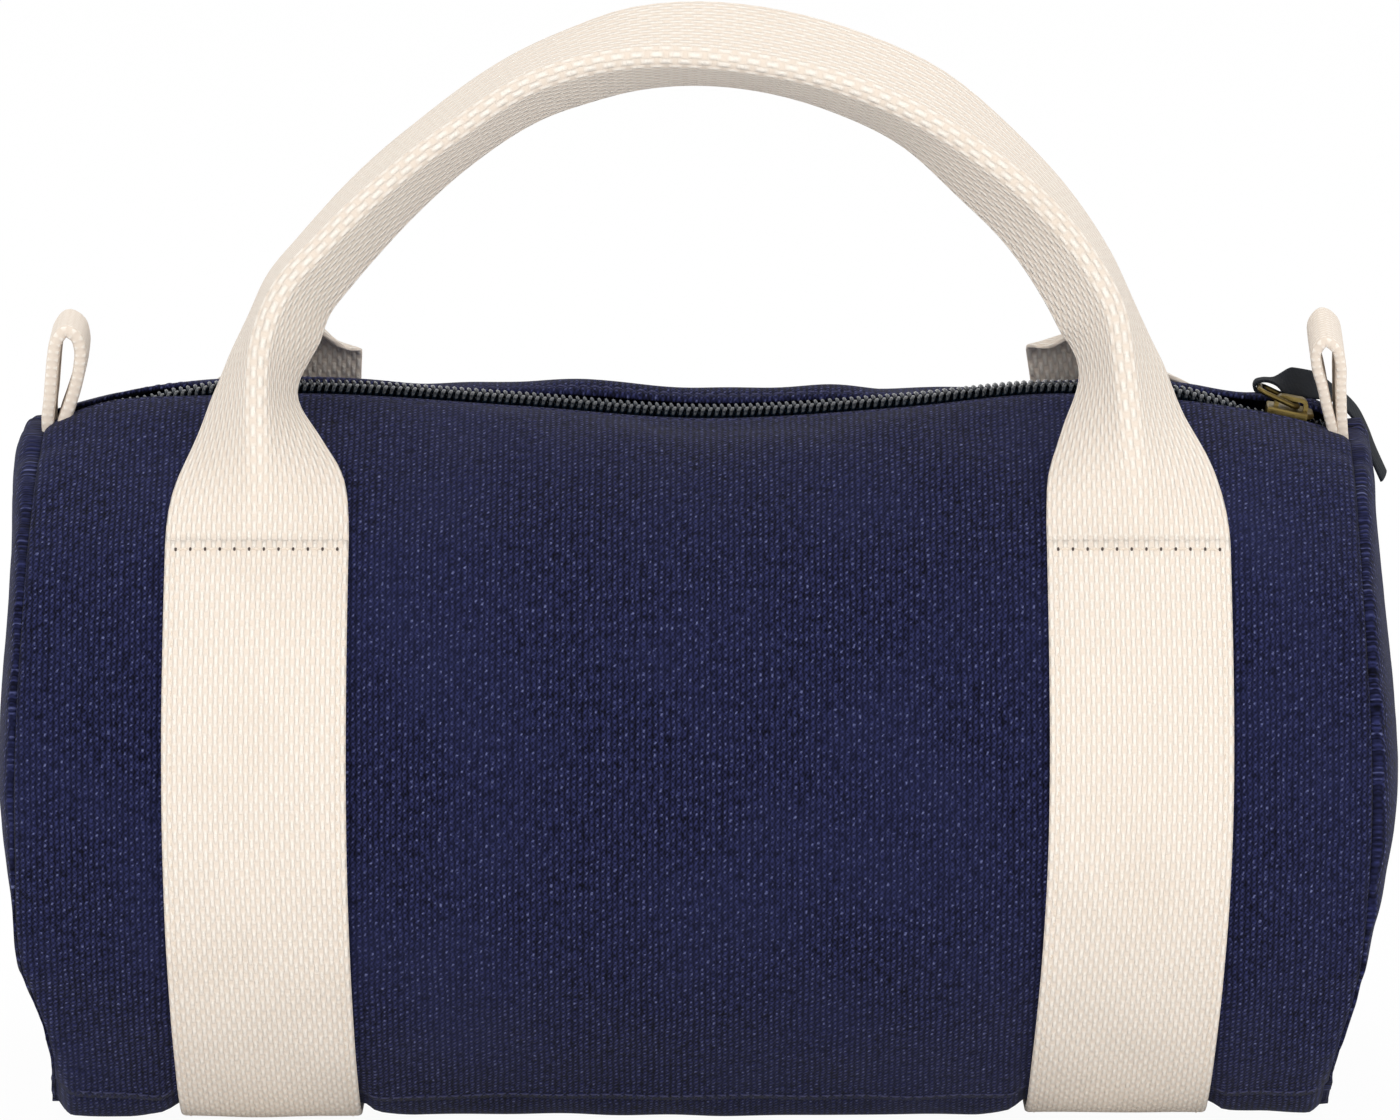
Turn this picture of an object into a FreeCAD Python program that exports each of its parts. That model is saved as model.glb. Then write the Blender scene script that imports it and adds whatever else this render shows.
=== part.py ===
import FreeCAD, Part
import math
import os
import re
import Sketcher

# A canvas barrel bag with webbing handles and a zip along the top.
# +X runs along the bag, -Y is the front, +Z is up, and Z = 0 is the underside of the straps.
# Driving dimensions, in millimetres and degrees. Angles round the barrel start at the top.
sizes = {
    # barrel of canvas
    "bag_length": 360,
    "barrel_radius": 100,
    "shoulder_drop": 9,
    "shoulder_length": 45,
    "end_bulge": 13,
    "canvas_thickness": 1.2,
    "base_drop": 6,
    "base_seam_angle": 147,
    "binding_depth": 9,
    "binding_width": 3,
    # mouth and the fold that it opens on
    "stitch_angle": 43.5,
    "mouth_corner": 47,
    "lip_gap": 8,
    # straps and handles of one webbing
    "webbing_width": 50,
    "webbing_thickness": 2.5,
    "strap_spacing": 240,
    "handle_rise": 137,
    "front_lean_angle": 18.5,
    "back_lean_angle": 20,
    # tape loops in the end seams
    "loop_width": 25,
    "loop_thickness": 2.4,
    "loop_height": 22.5,
    "loop_spread": 11.6,
    "loop_foot": 5.2,
    "loop_crotch": 5,
    "left_loop_angle": 12,
    "right_loop_angle": -14,
    # zip
    "zip_depth": 2.3,
    "zip_end_gap": 6,
    "zip_tilt_angle": 10.5,
    "tape_thickness": 0.6,
    "tape_underlap": 3,
    "chain_width": 6.4,
    "chain_height": 2.4,
    "tooth_pitch": 2,
    "tooth_root": 0.8,
    "tooth_tip": 0.5,
    "tooth_lap": 1,
    "spine_width": 1.3,
    # slider and pull
    "slider_inset": 17,
    "slider_length": 13,
    "slider_width": 11.2,
    "slider_tail": 8.6,
    "wing_thickness": 1.3,
    "flange_thickness": 0.8,
    "wing_chamfer": 0.4,
    "rim_slope_angle": 40,
    "wedge_width": 2.6,
    "crown_length": 9.4,
    "crown_width": 3,
    "crown_opening": 2.2,
    "crown_thickness": 1.2,
    "wire_diameter": 1.5,
    "ring_length": 11.5,
    "ring_width": 8.6,
    "ring_corner": 2.2,
    "ring_tilt_angle": 15,
    "ribbon_width": 12,
    "ribbon_thickness": 1.2,
    "ribbon_shift": 2,
    "ribbon_reach": 36,
    "ribbon_drop": 28,
    # clearances
    "fit": 0.3,
    "overrun": 5,
}

# Places that several pieces share, as expressions of the driving dimensions.
floor_height = "(webbing_thickness + fit)"
centre_height = "(webbing_thickness + fit + barrel_radius - base_drop)"
far = "(2 * barrel_radius)"
strap_radius = "(barrel_radius + fit + webbing_thickness)"
seam_radius = "(barrel_radius - shoulder_drop)"
mouth_length = "(bag_length - 2 * mouth_corner)"
zip_height = f"({centre_height} + barrel_radius - zip_depth)"
zip_bend = "(bag_length / 2 - shoulder_length)"
zip_reach = "(bag_length / 2 - zip_end_gap)"
slider_x = "(bag_length / 2 - slider_inset)"
slider_z = f"({zip_height} - ({slider_x} - {zip_bend}) * tan(zip_tilt_angle))"
wing_height = "(chain_height + fit + wing_thickness)"
wedge_tip_share = 0.2

doc = FreeCAD.newDocument("BarrelBag")
sheet = doc.addObject("Spreadsheet::Sheet", "Sizes")
for row, (alias, number) in enumerate(sizes.items(), start=1):
    sheet.set(f"A{row}", alias)
    sheet.set(f"B{row}", str(number))
    sheet.setAlias(f"B{row}", alias)
doc.recompute()

alias_words = re.compile(r"\b(" + "|".join(sizes) + r")\b")


def linked(text):
    return alias_words.sub(r"Sizes.\1", text)


def value(text):
    return float(sheet.evalExpression(linked(text)))


def bind(thing, **expressions):
    for name, text in expressions.items():
        thing.setExpression(name.replace("__", "."), linked(text))
    return thing


def place(thing, x="0", y="0", z="0", turns=(("0;0;1", "0"),)):
    spin = " * ".join(f"rotation(vector({axis}); {angle})" for axis, angle in turns)
    thing.setExpression("Placement", linked(f"placement(vector({x}; {y}; {z}); {spin})"))
    return thing


def box(name, low, size):
    thing = doc.addObject("Part::Box", name)
    bind(thing, Length=size[0], Width=size[1], Height=size[2])
    return place(thing, *low)


def cylinder_along_x(name, radius, start, length):
    thing = doc.addObject("Part::Cylinder", name)
    bind(thing, Radius=radius, Height=length)
    return place(thing, start, "0", centre_height, (("0;1;0", "90"),))


def boolean(kind, name, base, tool):
    thing = doc.addObject(f"Part::{kind}", name)
    thing.Base = base
    thing.Tool = tool
    return thing


def mirrored(name, source, normal):
    thing = doc.addObject("Part::Mirroring", name)
    thing.Source = source
    thing.Normal = FreeCAD.Vector(*normal)
    return thing


def pin(sketch, edge, point, spot, axes="XY"):
    for axis, text in zip("XY", spot):
        if axis in axes:
            rule = Sketcher.Constraint("Distance" + axis, -1, 1, edge, point, value(text))
            number = sketch.addConstraint(rule)
            sketch.setExpression(f"Constraints[{number}]", linked(text))


def draw_loop(sketch, corners):
    # A corner is (x, y), or (x, y, centre x, centre y, turn) where an arc leads on from it.
    spots = [FreeCAD.Vector(value(corner[0]), value(corner[1]), 0) for corner in corners]
    edges = []
    arc_arms = {}
    for number, corner in enumerate(corners):
        here = spots[number]
        there = spots[(number + 1) % len(corners)]
        if len(corner) == 2:
            edges.append((sketch.addGeometry(Part.LineSegment(here, there), False), 1, 2))
            continue
        centre = FreeCAD.Vector(value(corner[2]), value(corner[3]), 0)
        forward = corner[4] > 0
        ends = [here, there] if forward else [there, here]
        angles = [math.atan2(end.y - centre.y, end.x - centre.x) for end in ends]
        circle = Part.Circle(centre, FreeCAD.Vector(0, 0, 1), (here - centre).Length)
        edge = sketch.addGeometry(Part.ArcOfCircle(circle, *angles), False)
        edges.append((edge, 1, 2) if forward else (edge, 2, 1))
        pin(sketch, edge, 3, corner[2:4])
        arc_arms[(number + 1) % len(corners)] = there - centre
    for number, (edge, start, finish) in enumerate(edges):
        after = edges[(number + 1) % len(edges)]
        sketch.addConstraint(Sketcher.Constraint("Coincident", edge, finish, after[0], after[1]))
    for number, (edge, start, finish) in enumerate(edges):
        arm = arc_arms.get(number)
        axes = "XY"
        if arm is not None:
            axes = "X" if abs(arm.y) > abs(arm.x) else "Y"
        pin(sketch, edge, start, corners[number][:2], axes)


def outline(body, name, role, loops, lift="0"):
    sketch = body.newObject("Sketcher::SketchObject", name)
    planes = [item for item in body.Origin.OriginFeatures if item.Role == role]
    sketch.AttachmentSupport = [(planes[0], "")]
    sketch.MapMode = "FlatFace"
    sketch.setExpression("AttachmentOffset.Base.z", linked(lift))
    for corners in loops:
        draw_loop(sketch, corners)
    return sketch


def pad(body, name, sketch, length, both_ways=False):
    feature = body.newObject("PartDesign::Pad", name)
    feature.Profile = sketch
    feature.SideType = "Symmetric" if both_ways else "One side"
    return bind(feature, Length=length)


def prism(name, role, loops, length, lift="0", both_ways=True):
    body = doc.addObject("PartDesign::Body", name)
    sketch = outline(body, name + "_outline", role, loops, lift)
    pad(body, name + "_pad", sketch, length, both_ways)
    return body


def formed(name, shape):
    thing = doc.addObject("Part::Feature", name)
    thing.Shape = shape
    return thing


def ray(angle):
    # A point well outside the barrel, at an angle from its top towards the front.
    return f"-{far} * sin({angle})", f"{centre_height} + {far} * cos({angle})"


def mirror_corner(corner):
    return f"-({corner[0]})", corner[1]


# How far the barrel has dropped along a shoulder, from its start (0) to the end seam (1).
shoulder_shares = [(0, 0), (0.5, 0.25), (1, 1)]


# Canvas barrel: one shell with eased shoulders and a flat base, then cut into its panels.
def barrel(name, inset):
    body = doc.addObject("PartDesign::Body", name)
    right = [
        (f"{zip_bend} + {along} * shoulder_length", f"barrel_radius - {drop} * shoulder_drop - {inset}")
        for along, drop in shoulder_shares
    ]
    reach = "(bag_length / 2 + overrun)"
    right += [(reach, f"{seam_radius} - {inset}"), (reach, "0")]
    left = [(f"-({x})", z) for x, z in reversed(right)]
    sketch = outline(body, name + "_profile", "XZ_Plane", [left + right])
    turn = body.newObject("PartDesign::Revolution", name + "_turn")
    turn.Profile = sketch
    turn.ReferenceAxis = (sketch, ["H_Axis"])
    return place(body, z=centre_height)


def canvas_shell():
    outside = box(
        "shell_room",
        ("-bag_length / 2", f"-{far}", floor_height),
        ("bag_length", f"2 * {far}", f"2 * {far}"),
    )
    inside = box(
        "hollow_room",
        ("-bag_length / 2 - overrun", f"-{far}", f"{floor_height} + canvas_thickness"),
        ("bag_length + 2 * overrun", f"2 * {far}", f"2 * {far}"),
    )
    full = boolean("Common", "full_barrel", barrel("outer_barrel", "0"), outside)
    hollow = boolean("Common", "hollow_barrel", barrel("inner_barrel", "canvas_thickness"), inside)
    return boolean("Cut", "canvas_shell", full, hollow)


def front_panel(shell):
    seam = ray("base_seam_angle")
    corners = [
        ("-lip_gap", f"{centre_height} + {far}"),
        (f"-{far}", f"{centre_height} + {far}"),
        (f"-{far}", seam[1]),
        seam,
        ("-lip_gap", f"{centre_height} + lip_gap / tan(base_seam_angle)"),
    ]
    side = prism("front_side", "YZ_Plane", [corners], "bag_length + overrun")
    notch_corners = [("0", centre_height), ("0", f"{centre_height} + {far}"), ray("stitch_angle")]
    notch = prism("mouth_notch", "YZ_Plane", [notch_corners], mouth_length)
    blank = boolean("Common", "front_blank", shell, side)
    return boolean("Cut", "front_panel", blank, notch)


def front_lip(shell):
    edge_angle = "(stitch_angle - fit / barrel_radius * 180 / pi)"
    corners = [
        ("-lip_gap", f"{centre_height} + {far}"),
        ray(edge_angle),
        ("-lip_gap", f"{centre_height} + lip_gap / tan({edge_angle})"),
    ]
    room = prism("lip_room", "YZ_Plane", [corners], f"{mouth_length} - 2 * fit")
    return boolean("Common", "front_lip", shell, room)


def base_panel(shell):
    seam = ray("base_seam_angle")
    corners = [("0", centre_height), seam, mirror_corner(seam)]
    room = prism("base_room", "YZ_Plane", [corners], "bag_length + overrun")
    return boolean("Common", "base_panel", shell, room)


# The dome of an end panel, from its seam (1, 0) to its middle (0, 1).
dome_shares = [(1, 0), (0.975, 0.42), (0.86, 0.71), (0.62, 0.91), (0.3, 0.99), (0, 1)]


def right_end_panel():
    body = doc.addObject("PartDesign::Body", "right_end_panel")
    outside = [(f"bag_length / 2 + {up} * end_bulge", f"{out} * {seam_radius}") for out, up in dome_shares]
    inside = [(f"{x} - canvas_thickness", z) for x, z in reversed(outside)]
    inside[-1] = ("bag_length / 2", f"{seam_radius} - 2 * canvas_thickness")
    sketch = outline(body, "end_profile", "XZ_Plane", [outside + inside])
    turn = body.newObject("PartDesign::Revolution", "end_turn")
    turn.Profile = sketch
    turn.ReferenceAxis = (sketch, ["H_Axis"])
    return place(body, z=centre_height)


def right_seam_binding():
    rim = f"({seam_radius} - canvas_thickness - 2 * fit)"
    start = "bag_length / 2 - fit - binding_width"
    outer = cylinder_along_x("binding_outer", rim, start, "binding_width")
    inner = cylinder_along_x(
        "binding_inner", f"{rim} - binding_depth", f"{start} - overrun", "binding_width + 2 * overrun"
    )
    return boolean("Cut", "right_seam_binding", outer, inner)


# Webbing: a strap round the barrel from stitch line to stitch line, flat under the base.
def right_strap():
    start = "strap_spacing / 2 - webbing_width / 2"
    over = cylinder_along_x("strap_over", strap_radius, start, "webbing_width")
    under = cylinder_along_x(
        "strap_under", "barrel_radius + fit", f"{start} - overrun", "webbing_width + 2 * overrun"
    )
    ground = box(
        "strap_ground",
        (f"{start} - overrun", f"-{far}", "0"),
        ("webbing_width + 2 * overrun", f"2 * {far}", f"2 * {far}"),
    )
    bed = box(
        "strap_bed",
        (f"{start} - overrun", f"-{far}", "webbing_thickness"),
        ("webbing_width + 2 * overrun", f"2 * {far}", f"2 * {far}"),
    )
    solid = boolean("Common", "strap_solid", over, ground)
    hollow = boolean("Common", "strap_hollow", under, bed)
    band = boolean("Cut", "strap_band", solid, hollow)
    stitch = ray("stitch_angle")
    corners = [("0", centre_height), mirror_corner(stitch), ("0", f"{centre_height} + 2 * {far}"), stitch]
    above = prism("strap_above", "YZ_Plane", [corners], "2 * strap_spacing")
    return boolean("Cut", "right_strap", band, above)


def thick_line(points, thickness):
    # The closed outline of a strip of even thickness along a flat line, with mitred corners.
    near_side = []
    far_side = []
    for number, point in enumerate(points):
        before = point - points[number - 1] if number else points[1] - point
        after = points[number + 1] - point if number + 1 < len(points) else before
        first = FreeCAD.Vector(-before.y, before.x, 0).normalize()
        second = FreeCAD.Vector(-after.y, after.x, 0).normalize()
        mitre = (first + second) * (thickness / 2 / (1 + first.dot(second)))
        near_side.append(point + mitre)
        far_side.append(point - mitre)
    return near_side + far_side[::-1]


# The ridge of a handle, where its webbing is folded in half, from the left stitch line to the right one:
# shares of half the strap spacing and of the rise, then how far each wing stands out from straight back,
# the outer wing first. The webbing is flat at 90 degrees. The fold leans outwards on both legs
# and downwards at the top, as the handles lie in use. The back handle is folded tighter.
front_ridge_shares = [
    (-1.006, 0.0, 90, 90),
    (-1.006, 0.117, 65, 70),
    (-1.008, 0.21, 42, 42),
    (-1.008, 0.314, 25, 20),
    (-1.003, 0.387, 15, 27),
    (-0.985, 0.449, 10, 32),
    (-0.94, 0.522, 12, 28),
    (-0.868, 0.59, 14, 24),
    (-0.785, 0.663, 16, 21),
    (-0.687, 0.738, 18, 17),
    (-0.573, 0.813, 21, 13),
    (-0.37, 0.923, 25, 12),
    (-0.263, 0.952, 30, 11),
    (-0.164, 0.966, 37, 8),
    (0.0, 0.967, 43, 4),
    (0.1125, 0.956, 44, 3),
    (0.318, 0.917, 41, 6),
    (0.482, 0.859, 38, 10),
    (0.644, 0.773, 28, 21),
    (0.776, 0.679, 20, 27),
    (0.884, 0.565, 14, 32),
    (0.948, 0.456, 12, 32),
    (0.962, 0.372, 22, 23),
    (0.978, 0.248, 36, 44),
    (0.992, 0.131, 60, 74),
    (0.996, 0.0, 90, 90),
]
back_ridge_shares = [
    (-1.006, 0.0, 90, 90),
    (-1.005, 0.1, 78, 90),
    (-1.001, 0.18, 50, 84),
    (-0.995, 0.25, 26, 64),
    (-0.985, 0.31, 16, 36),
    (-0.965, 0.39, 12, 18),
    (-0.9, 0.488, 12, 14),
    (-0.785, 0.615, 13, 12),
    (-0.573, 0.788, 15, 11),
    (-0.37, 0.91, 18, 10),
    (-0.164, 0.978, 24, 10),
    (0.0, 0.993, 26, 10),
    (0.16, 0.978, 26, 10),
    (0.37, 0.918, 24, 10),
    (0.573, 0.793, 18, 10),
    (0.776, 0.608, 14, 12),
    (0.889, 0.47, 12, 14),
    (0.945, 0.37, 12, 20),
    (0.96, 0.31, 16, 38),
    (0.968, 0.25, 26, 66),
    (0.98, 0.18, 50, 86),
    (0.992, 0.1, 78, 90),
    (0.996, 0.0, 90, 90),
]
steps_per_point = 2


def folded_section(outer_angle, inner_angle):
    # Across the webbing: x points away from the middle of the arch, y to the outside of the bag.
    wing = value("webbing_width / 2")
    ridge = FreeCAD.Vector(0, -value("webbing_thickness / 2"), 0)
    outer_turn = math.radians(outer_angle)
    inner_turn = math.radians(inner_angle)
    outer = FreeCAD.Vector(math.sin(outer_turn), -math.cos(outer_turn), 0)
    inner = FreeCAD.Vector(-math.sin(inner_turn), -math.cos(inner_turn), 0)
    return thick_line([ridge + outer * wing, ridge, ridge + inner * wing], value("webbing_thickness"))


def handle(name, front, lean_name):
    # front is -1 for the handle on the front and 1 for the one on the back.
    lean = math.radians(value(lean_name))
    hinge_y = value(f"{strap_radius} * sin(stitch_angle)")
    hinge_z = value(f"{centre_height} + {strap_radius} * cos(stitch_angle)")
    up = FreeCAD.Vector(0, -front * math.sin(lean), math.cos(lean))
    outward = FreeCAD.Vector(0, front * math.cos(lean), math.sin(lean))
    hinge = FreeCAD.Vector(0, front * hinge_y, hinge_z)
    across = value("strap_spacing / 2")
    start = value("fit")
    rise = value("handle_rise")
    shares = front_ridge_shares if front < 0 else back_ridge_shares
    spots = [FreeCAD.Vector(x * across, start + z * rise, 0) for x, z, outer, inner in shares]
    ridge = Part.BSplineCurve()
    climb = FreeCAD.Vector(0, 1, 0)
    ridge.interpolate(Points=spots, InitialTangent=climb, FinalTangent=-climb)
    knots = [ridge.parameter(spot) for spot in spots]
    wires = []
    for number in range(steps_per_point * (len(spots) - 1) + 1):
        before = min(number // steps_per_point, len(spots) - 2)
        mix = number / steps_per_point - before
        knot = knots[before] + mix * (knots[before + 1] - knots[before])
        angles = [shares[before][side] * (1 - mix) + shares[before + 1][side] * mix for side in (2, 3)]
        spot = ridge.value(knot)
        along = ridge.tangent(knot)[0]
        corners = []
        for point in folded_section(*angles):
            flat = spot + FreeCAD.Vector(-along.y, along.x, 0) * point.x
            corners.append(hinge + FreeCAD.Vector(flat.x, 0, 0) + up * flat.y + outward * point.y)
        wires.append(Part.makePolygon(corners + corners[:1]))
    return formed(name, Part.makeLoft(wires, True, True))


# Tape loops, each standing in the top of an end seam, in line with the zip.
def tape_loop(name, end, lean_name):
    outer = "(loop_spread / 2)"
    inner = "(loop_spread / 2 - loop_thickness)"
    foot = "(loop_foot / 2)"
    outside = [
        (outer, "loop_height", "0", "loop_height", 1),
        (f"-{outer}", "loop_height"),
        (f"-{foot}", "0", "0", "0", 1),
        (foot, "0"),
    ]
    hole = [
        (inner, "loop_height", "0", "loop_height", 1),
        (f"-{inner}", "loop_height"),
        ("0", "loop_crotch"),
    ]
    body = prism(name, "XZ_Plane", [outside, hole], "loop_width")
    height = f"{centre_height} + {seam_radius} + fit + {foot}"
    return place(body, f"{end} * bag_length / 2", "0", height, (("0;1;0", lean_name),))


# Zip: a tape and a row of teeth on each lip, bent down towards both end seams.
def zip_tape(name, front):
    end_drop = f"(({zip_reach} - {zip_bend}) * tan(zip_tilt_angle))"
    right = [(zip_bend, zip_height), (zip_reach, f"{zip_height} - {end_drop}")]
    upper = [(f"-{x}", z) for x, z in reversed(right)] + right
    lower = [(x, f"{z} - tape_thickness") for x, z in reversed(upper)]
    inner_edge = "(chain_width / 2 - fit)"
    outer_edge = "(lip_gap + tape_underlap)"
    lift = inner_edge if front else f"-{outer_edge}"
    return prism(name, "XZ_Plane", [upper + lower], f"{outer_edge} - {inner_edge}", lift, False)


def comb(start, finish, first_tooth, side):
    # A strip of teeth along x, between start and finish, seen from above and raised to its height.
    edge = side * value("chain_width / 2")
    root = side * value("chain_width / 2 - spine_width")
    tip = -side * value("tooth_lap")
    half_root = value("tooth_root / 2")
    half_tip = value("tooth_tip / 2")
    pitch = value("tooth_pitch")
    corners = [FreeCAD.Vector(start, edge, 0), FreeCAD.Vector(start, root, 0)]
    number = math.ceil((start + half_root - first_tooth) / pitch)
    while first_tooth + number * pitch <= finish - half_root:
        x = first_tooth + number * pitch
        corners.append(FreeCAD.Vector(x - half_root, root, 0))
        corners.append(FreeCAD.Vector(x - half_tip, tip, 0))
        corners.append(FreeCAD.Vector(x + half_tip, tip, 0))
        corners.append(FreeCAD.Vector(x + half_root, root, 0))
        number += 1
    corners += [FreeCAD.Vector(finish, root, 0), FreeCAD.Vector(finish, edge, 0)]
    face = Part.Face(Part.makePolygon(corners + corners[:1]))
    return face.extrude(FreeCAD.Vector(0, 0, value("chain_height")))


def zip_chain(name, side):
    # The two rows mesh: the back row stands half a pitch along from the front row.
    bend = value(zip_bend)
    tilt = value("zip_tilt_angle")
    height = value(zip_height)
    first_tooth = value("tooth_pitch / 4") * side
    to_slider = value(f"({slider_x} - {zip_bend}) / cos(zip_tilt_angle)")
    right_run = to_slider + value(f"{wedge_tip_share} * slider_length - fit")
    left_run = value(f"({zip_reach} - {zip_bend}) / cos(zip_tilt_angle)")
    middle = comb(-bend, bend, first_tooth, side)
    middle.translate(FreeCAD.Vector(0, 0, height))
    runs = []
    join = value("chain_height * tan(zip_tilt_angle)")
    for start, finish, end in ((-join, right_run, 1), (-left_run, join, -1)):
        run = comb(start, finish, first_tooth - end * bend, side)
        run.rotate(FreeCAD.Vector(0, 0, 0), FreeCAD.Vector(0, 1, 0), end * tilt)
        run.translate(FreeCAD.Vector(end * bend, 0, height))
        runs.append(run)
    return formed(name, middle.fuse(runs))


# Slider: two wings joined by a wedge, flanges round the chain, a crown on top and a wire ring in it.
# Its own frame has x along the zip, z up from the top of the tape.
def on_slider(thing):
    return place(thing, slider_x, "0", slider_z, (("0;1;0", "zip_tilt_angle"),))


def slider_body():
    body = doc.addObject("PartDesign::Body", "slider_body")
    half = "(slider_length / 2)"
    wide = "(slider_width / 2)"
    tail = "(slider_tail / 2)"
    tip = f"({wedge_tip_share} * slider_length)"
    under = "(tape_thickness + fit)"
    neck_share = 0.1
    shoulder_share = 0.36
    nose_share = 0.62
    wedge_front = f"(0.6 * {half})"
    wedge_back = f"(0.85 * {half})"
    wedge = [
        (tip, "0"),
        (wedge_front, "-wedge_width / 2"),
        (wedge_back, "-wedge_width / 2"),
        (wedge_back, "wedge_width / 2"),
        (wedge_front, "wedge_width / 2"),
    ]
    side = [
        (f"-{half}", f"-{tail}"),
        (f"{neck_share} * slider_length", f"-{wide}"),
        (f"{shoulder_share} * slider_length", f"-{wide}"),
    ]
    nose = [(half, f"-{nose_share} * {wide}")]
    lower = side + nose
    plan = lower + [(x, f"-({y})") for x, y in reversed(lower)]
    inward = [(x, f"{y} + flange_thickness") for x, y in reversed(side)]
    near_flange = side + inward
    far_flange = [(x, f"-({y})") for x, y in near_flange]
    post = outline(body, "wedge_outline", "XY_Plane", [wedge], f"-{under} - wing_thickness")
    pad(body, "wedge_pad", post, f"chain_height + fit + {under} + 1.5 * wing_thickness")
    top = outline(body, "top_wing_outline", "XY_Plane", [plan], "chain_height + fit")
    pad(body, "top_wing", top, "wing_thickness - wing_chamfer")
    rim = outline(body, "top_rim_outline", "XY_Plane", [plan], f"{wing_height} - wing_chamfer")
    bind(pad(body, "top_rim", rim, "wing_chamfer"), TaperAngle="-rim_slope_angle")
    bottom = outline(body, "bottom_wing_outline", "XY_Plane", [plan], f"-{under} - wing_thickness")
    pad(body, "bottom_wing", bottom, "wing_thickness")
    flanges = outline(body, "flange_outline", "XY_Plane", [near_flange, far_flange], "fit")
    pad(body, "flanges", flanges, "chain_height + fit")
    return on_slider(body)


def slider_crown():
    # A low arch: the ring's bar lies in its opening, above the top wing.
    half = "(crown_length / 2)"
    round_in = "(crown_opening / 2)"
    round_out = "(crown_opening / 2 + crown_thickness)"
    foot = wing_height
    spring = f"({foot} + crown_opening / 2)"
    corners = [
        (half, foot),
        (half, spring, f"{half} - {round_out}", spring, 1),
        (f"{half} - {round_out}", f"{spring} + {round_out}"),
        (f"-{half} + {round_out}", f"{spring} + {round_out}", f"-{half} + {round_out}", spring, 1),
        (f"-{half}", spring),
        (f"-{half}", foot),
        (f"-{half} + crown_thickness", foot),
        (f"-{half} + crown_thickness", spring, f"-{half} + {round_out}", spring, -1),
        (f"-{half} + {round_out}", f"{spring} + {round_in}"),
        (f"{half} - {round_out}", f"{spring} + {round_in}", f"{half} - {round_out}", spring, -1),
        (f"{half} - crown_thickness", spring),
        (f"{half} - crown_thickness", foot),
    ]
    return on_slider(prism("slider_crown", "XZ_Plane", [corners], "crown_width"))


ring_hinge_share = 0.12


def ring_hinge():
    local_x = value(f"{ring_hinge_share} * slider_length")
    local_z = value(f"{wing_height} + crown_opening / 2")
    tilt = FreeCAD.Rotation(FreeCAD.Vector(0, 1, 0), value("zip_tilt_angle"))
    start = FreeCAD.Vector(value(slider_x), 0, value(slider_z))
    return start + tilt.multVec(FreeCAD.Vector(local_x, 0, local_z))


def ring_turn():
    return FreeCAD.Rotation(FreeCAD.Vector(0, 1, 0), value("ring_tilt_angle + zip_tilt_angle"))


def pull_ring():
    # A closed wire loop, its near bar in the crown and its far bar towards the middle of the bag.
    corner = value("ring_corner")
    runs = [value("ring_width") - 2 * corner, value("ring_length") - 2 * corner] * 2
    spot = FreeCAD.Vector(0, -runs[0] / 2, 0)
    heading = FreeCAD.Vector(0, 1, 0)
    upright = FreeCAD.Vector(0, 0, 1)
    pieces = []
    for run in runs:
        wire = Part.Face(Part.Wire(Part.makeCircle(value("wire_diameter / 2"), spot, heading)))
        pieces.append(wire.extrude(heading * run))
        spot = spot + heading * run
        left = upright.cross(heading)
        wire = Part.Face(Part.Wire(Part.makeCircle(value("wire_diameter / 2"), spot, heading)))
        pieces.append(wire.revolve(spot + left * corner, upright, 90))
        spot = spot + (heading + left) * corner
        heading = left
    ring = formed("pull_ring", pieces[0].fuse(pieces[1:]).removeSplitter())
    ring.Placement = FreeCAD.Placement(ring_hinge(), ring_turn())
    return ring


# The ribbon goes round the ring's far bar, then back past the loop and over the end seam to its tip:
# shares of the wrap's radius, then shares of the reach, of the drop and of the way back past the loop.
wrap_shares = [(0.1, -1.04), (-0.99, -0.73), (-1.08, 0.6), (-0.05, 1.3)]
ribbon_shares = [
    (0.12, 0.105, 0.05),
    (0.26, 0.09, 0.4),
    (0.4, 0.03, 0.85),
    (0.5, -0.04, 1),
    (0.68, -0.2, 1.03),
    (0.82, -0.36, 1.03),
    (0.925, -0.63, 1.03),
    (1.03, -1, 1.03),
]


def pull_ribbon():
    bar = ring_hinge() + ring_turn().multVec(FreeCAD.Vector(-value("ring_length"), 0, 0))
    wrap = value("wire_diameter / 2 + fit + ribbon_thickness / 2")
    reach = value("ribbon_reach")
    drop = value("ribbon_drop")
    line = [FreeCAD.Vector(bar.x + x * wrap, bar.z + z * wrap, 0) for x, z in wrap_shares]
    line += [FreeCAD.Vector(bar.x + x * reach, bar.z + z * drop, 0) for x, z, aside in ribbon_shares]
    asides = [0] * len(wrap_shares) + [aside for x, z, aside in ribbon_shares]
    start = value("ribbon_shift")
    past_loop = value("loop_width / 2 + ribbon_width / 2 + fit") - start
    sides = thick_line(line, value("ribbon_thickness"))
    half = FreeCAD.Vector(0, value("ribbon_width / 2"), 0)
    wires = []
    for aside, above, below in zip(asides, sides, reversed(sides)):
        middle = FreeCAD.Vector(0, start + aside * past_loop, 0)
        over = middle + FreeCAD.Vector(above.x, 0, above.y)
        under = middle + FreeCAD.Vector(below.x, 0, below.y)
        corners = [over - half, over + half, under + half, under - half]
        wires.append(Part.makePolygon(corners + corners[:1]))
    return formed("pull_ribbon", Part.makeLoft(wires, True, True))


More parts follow.
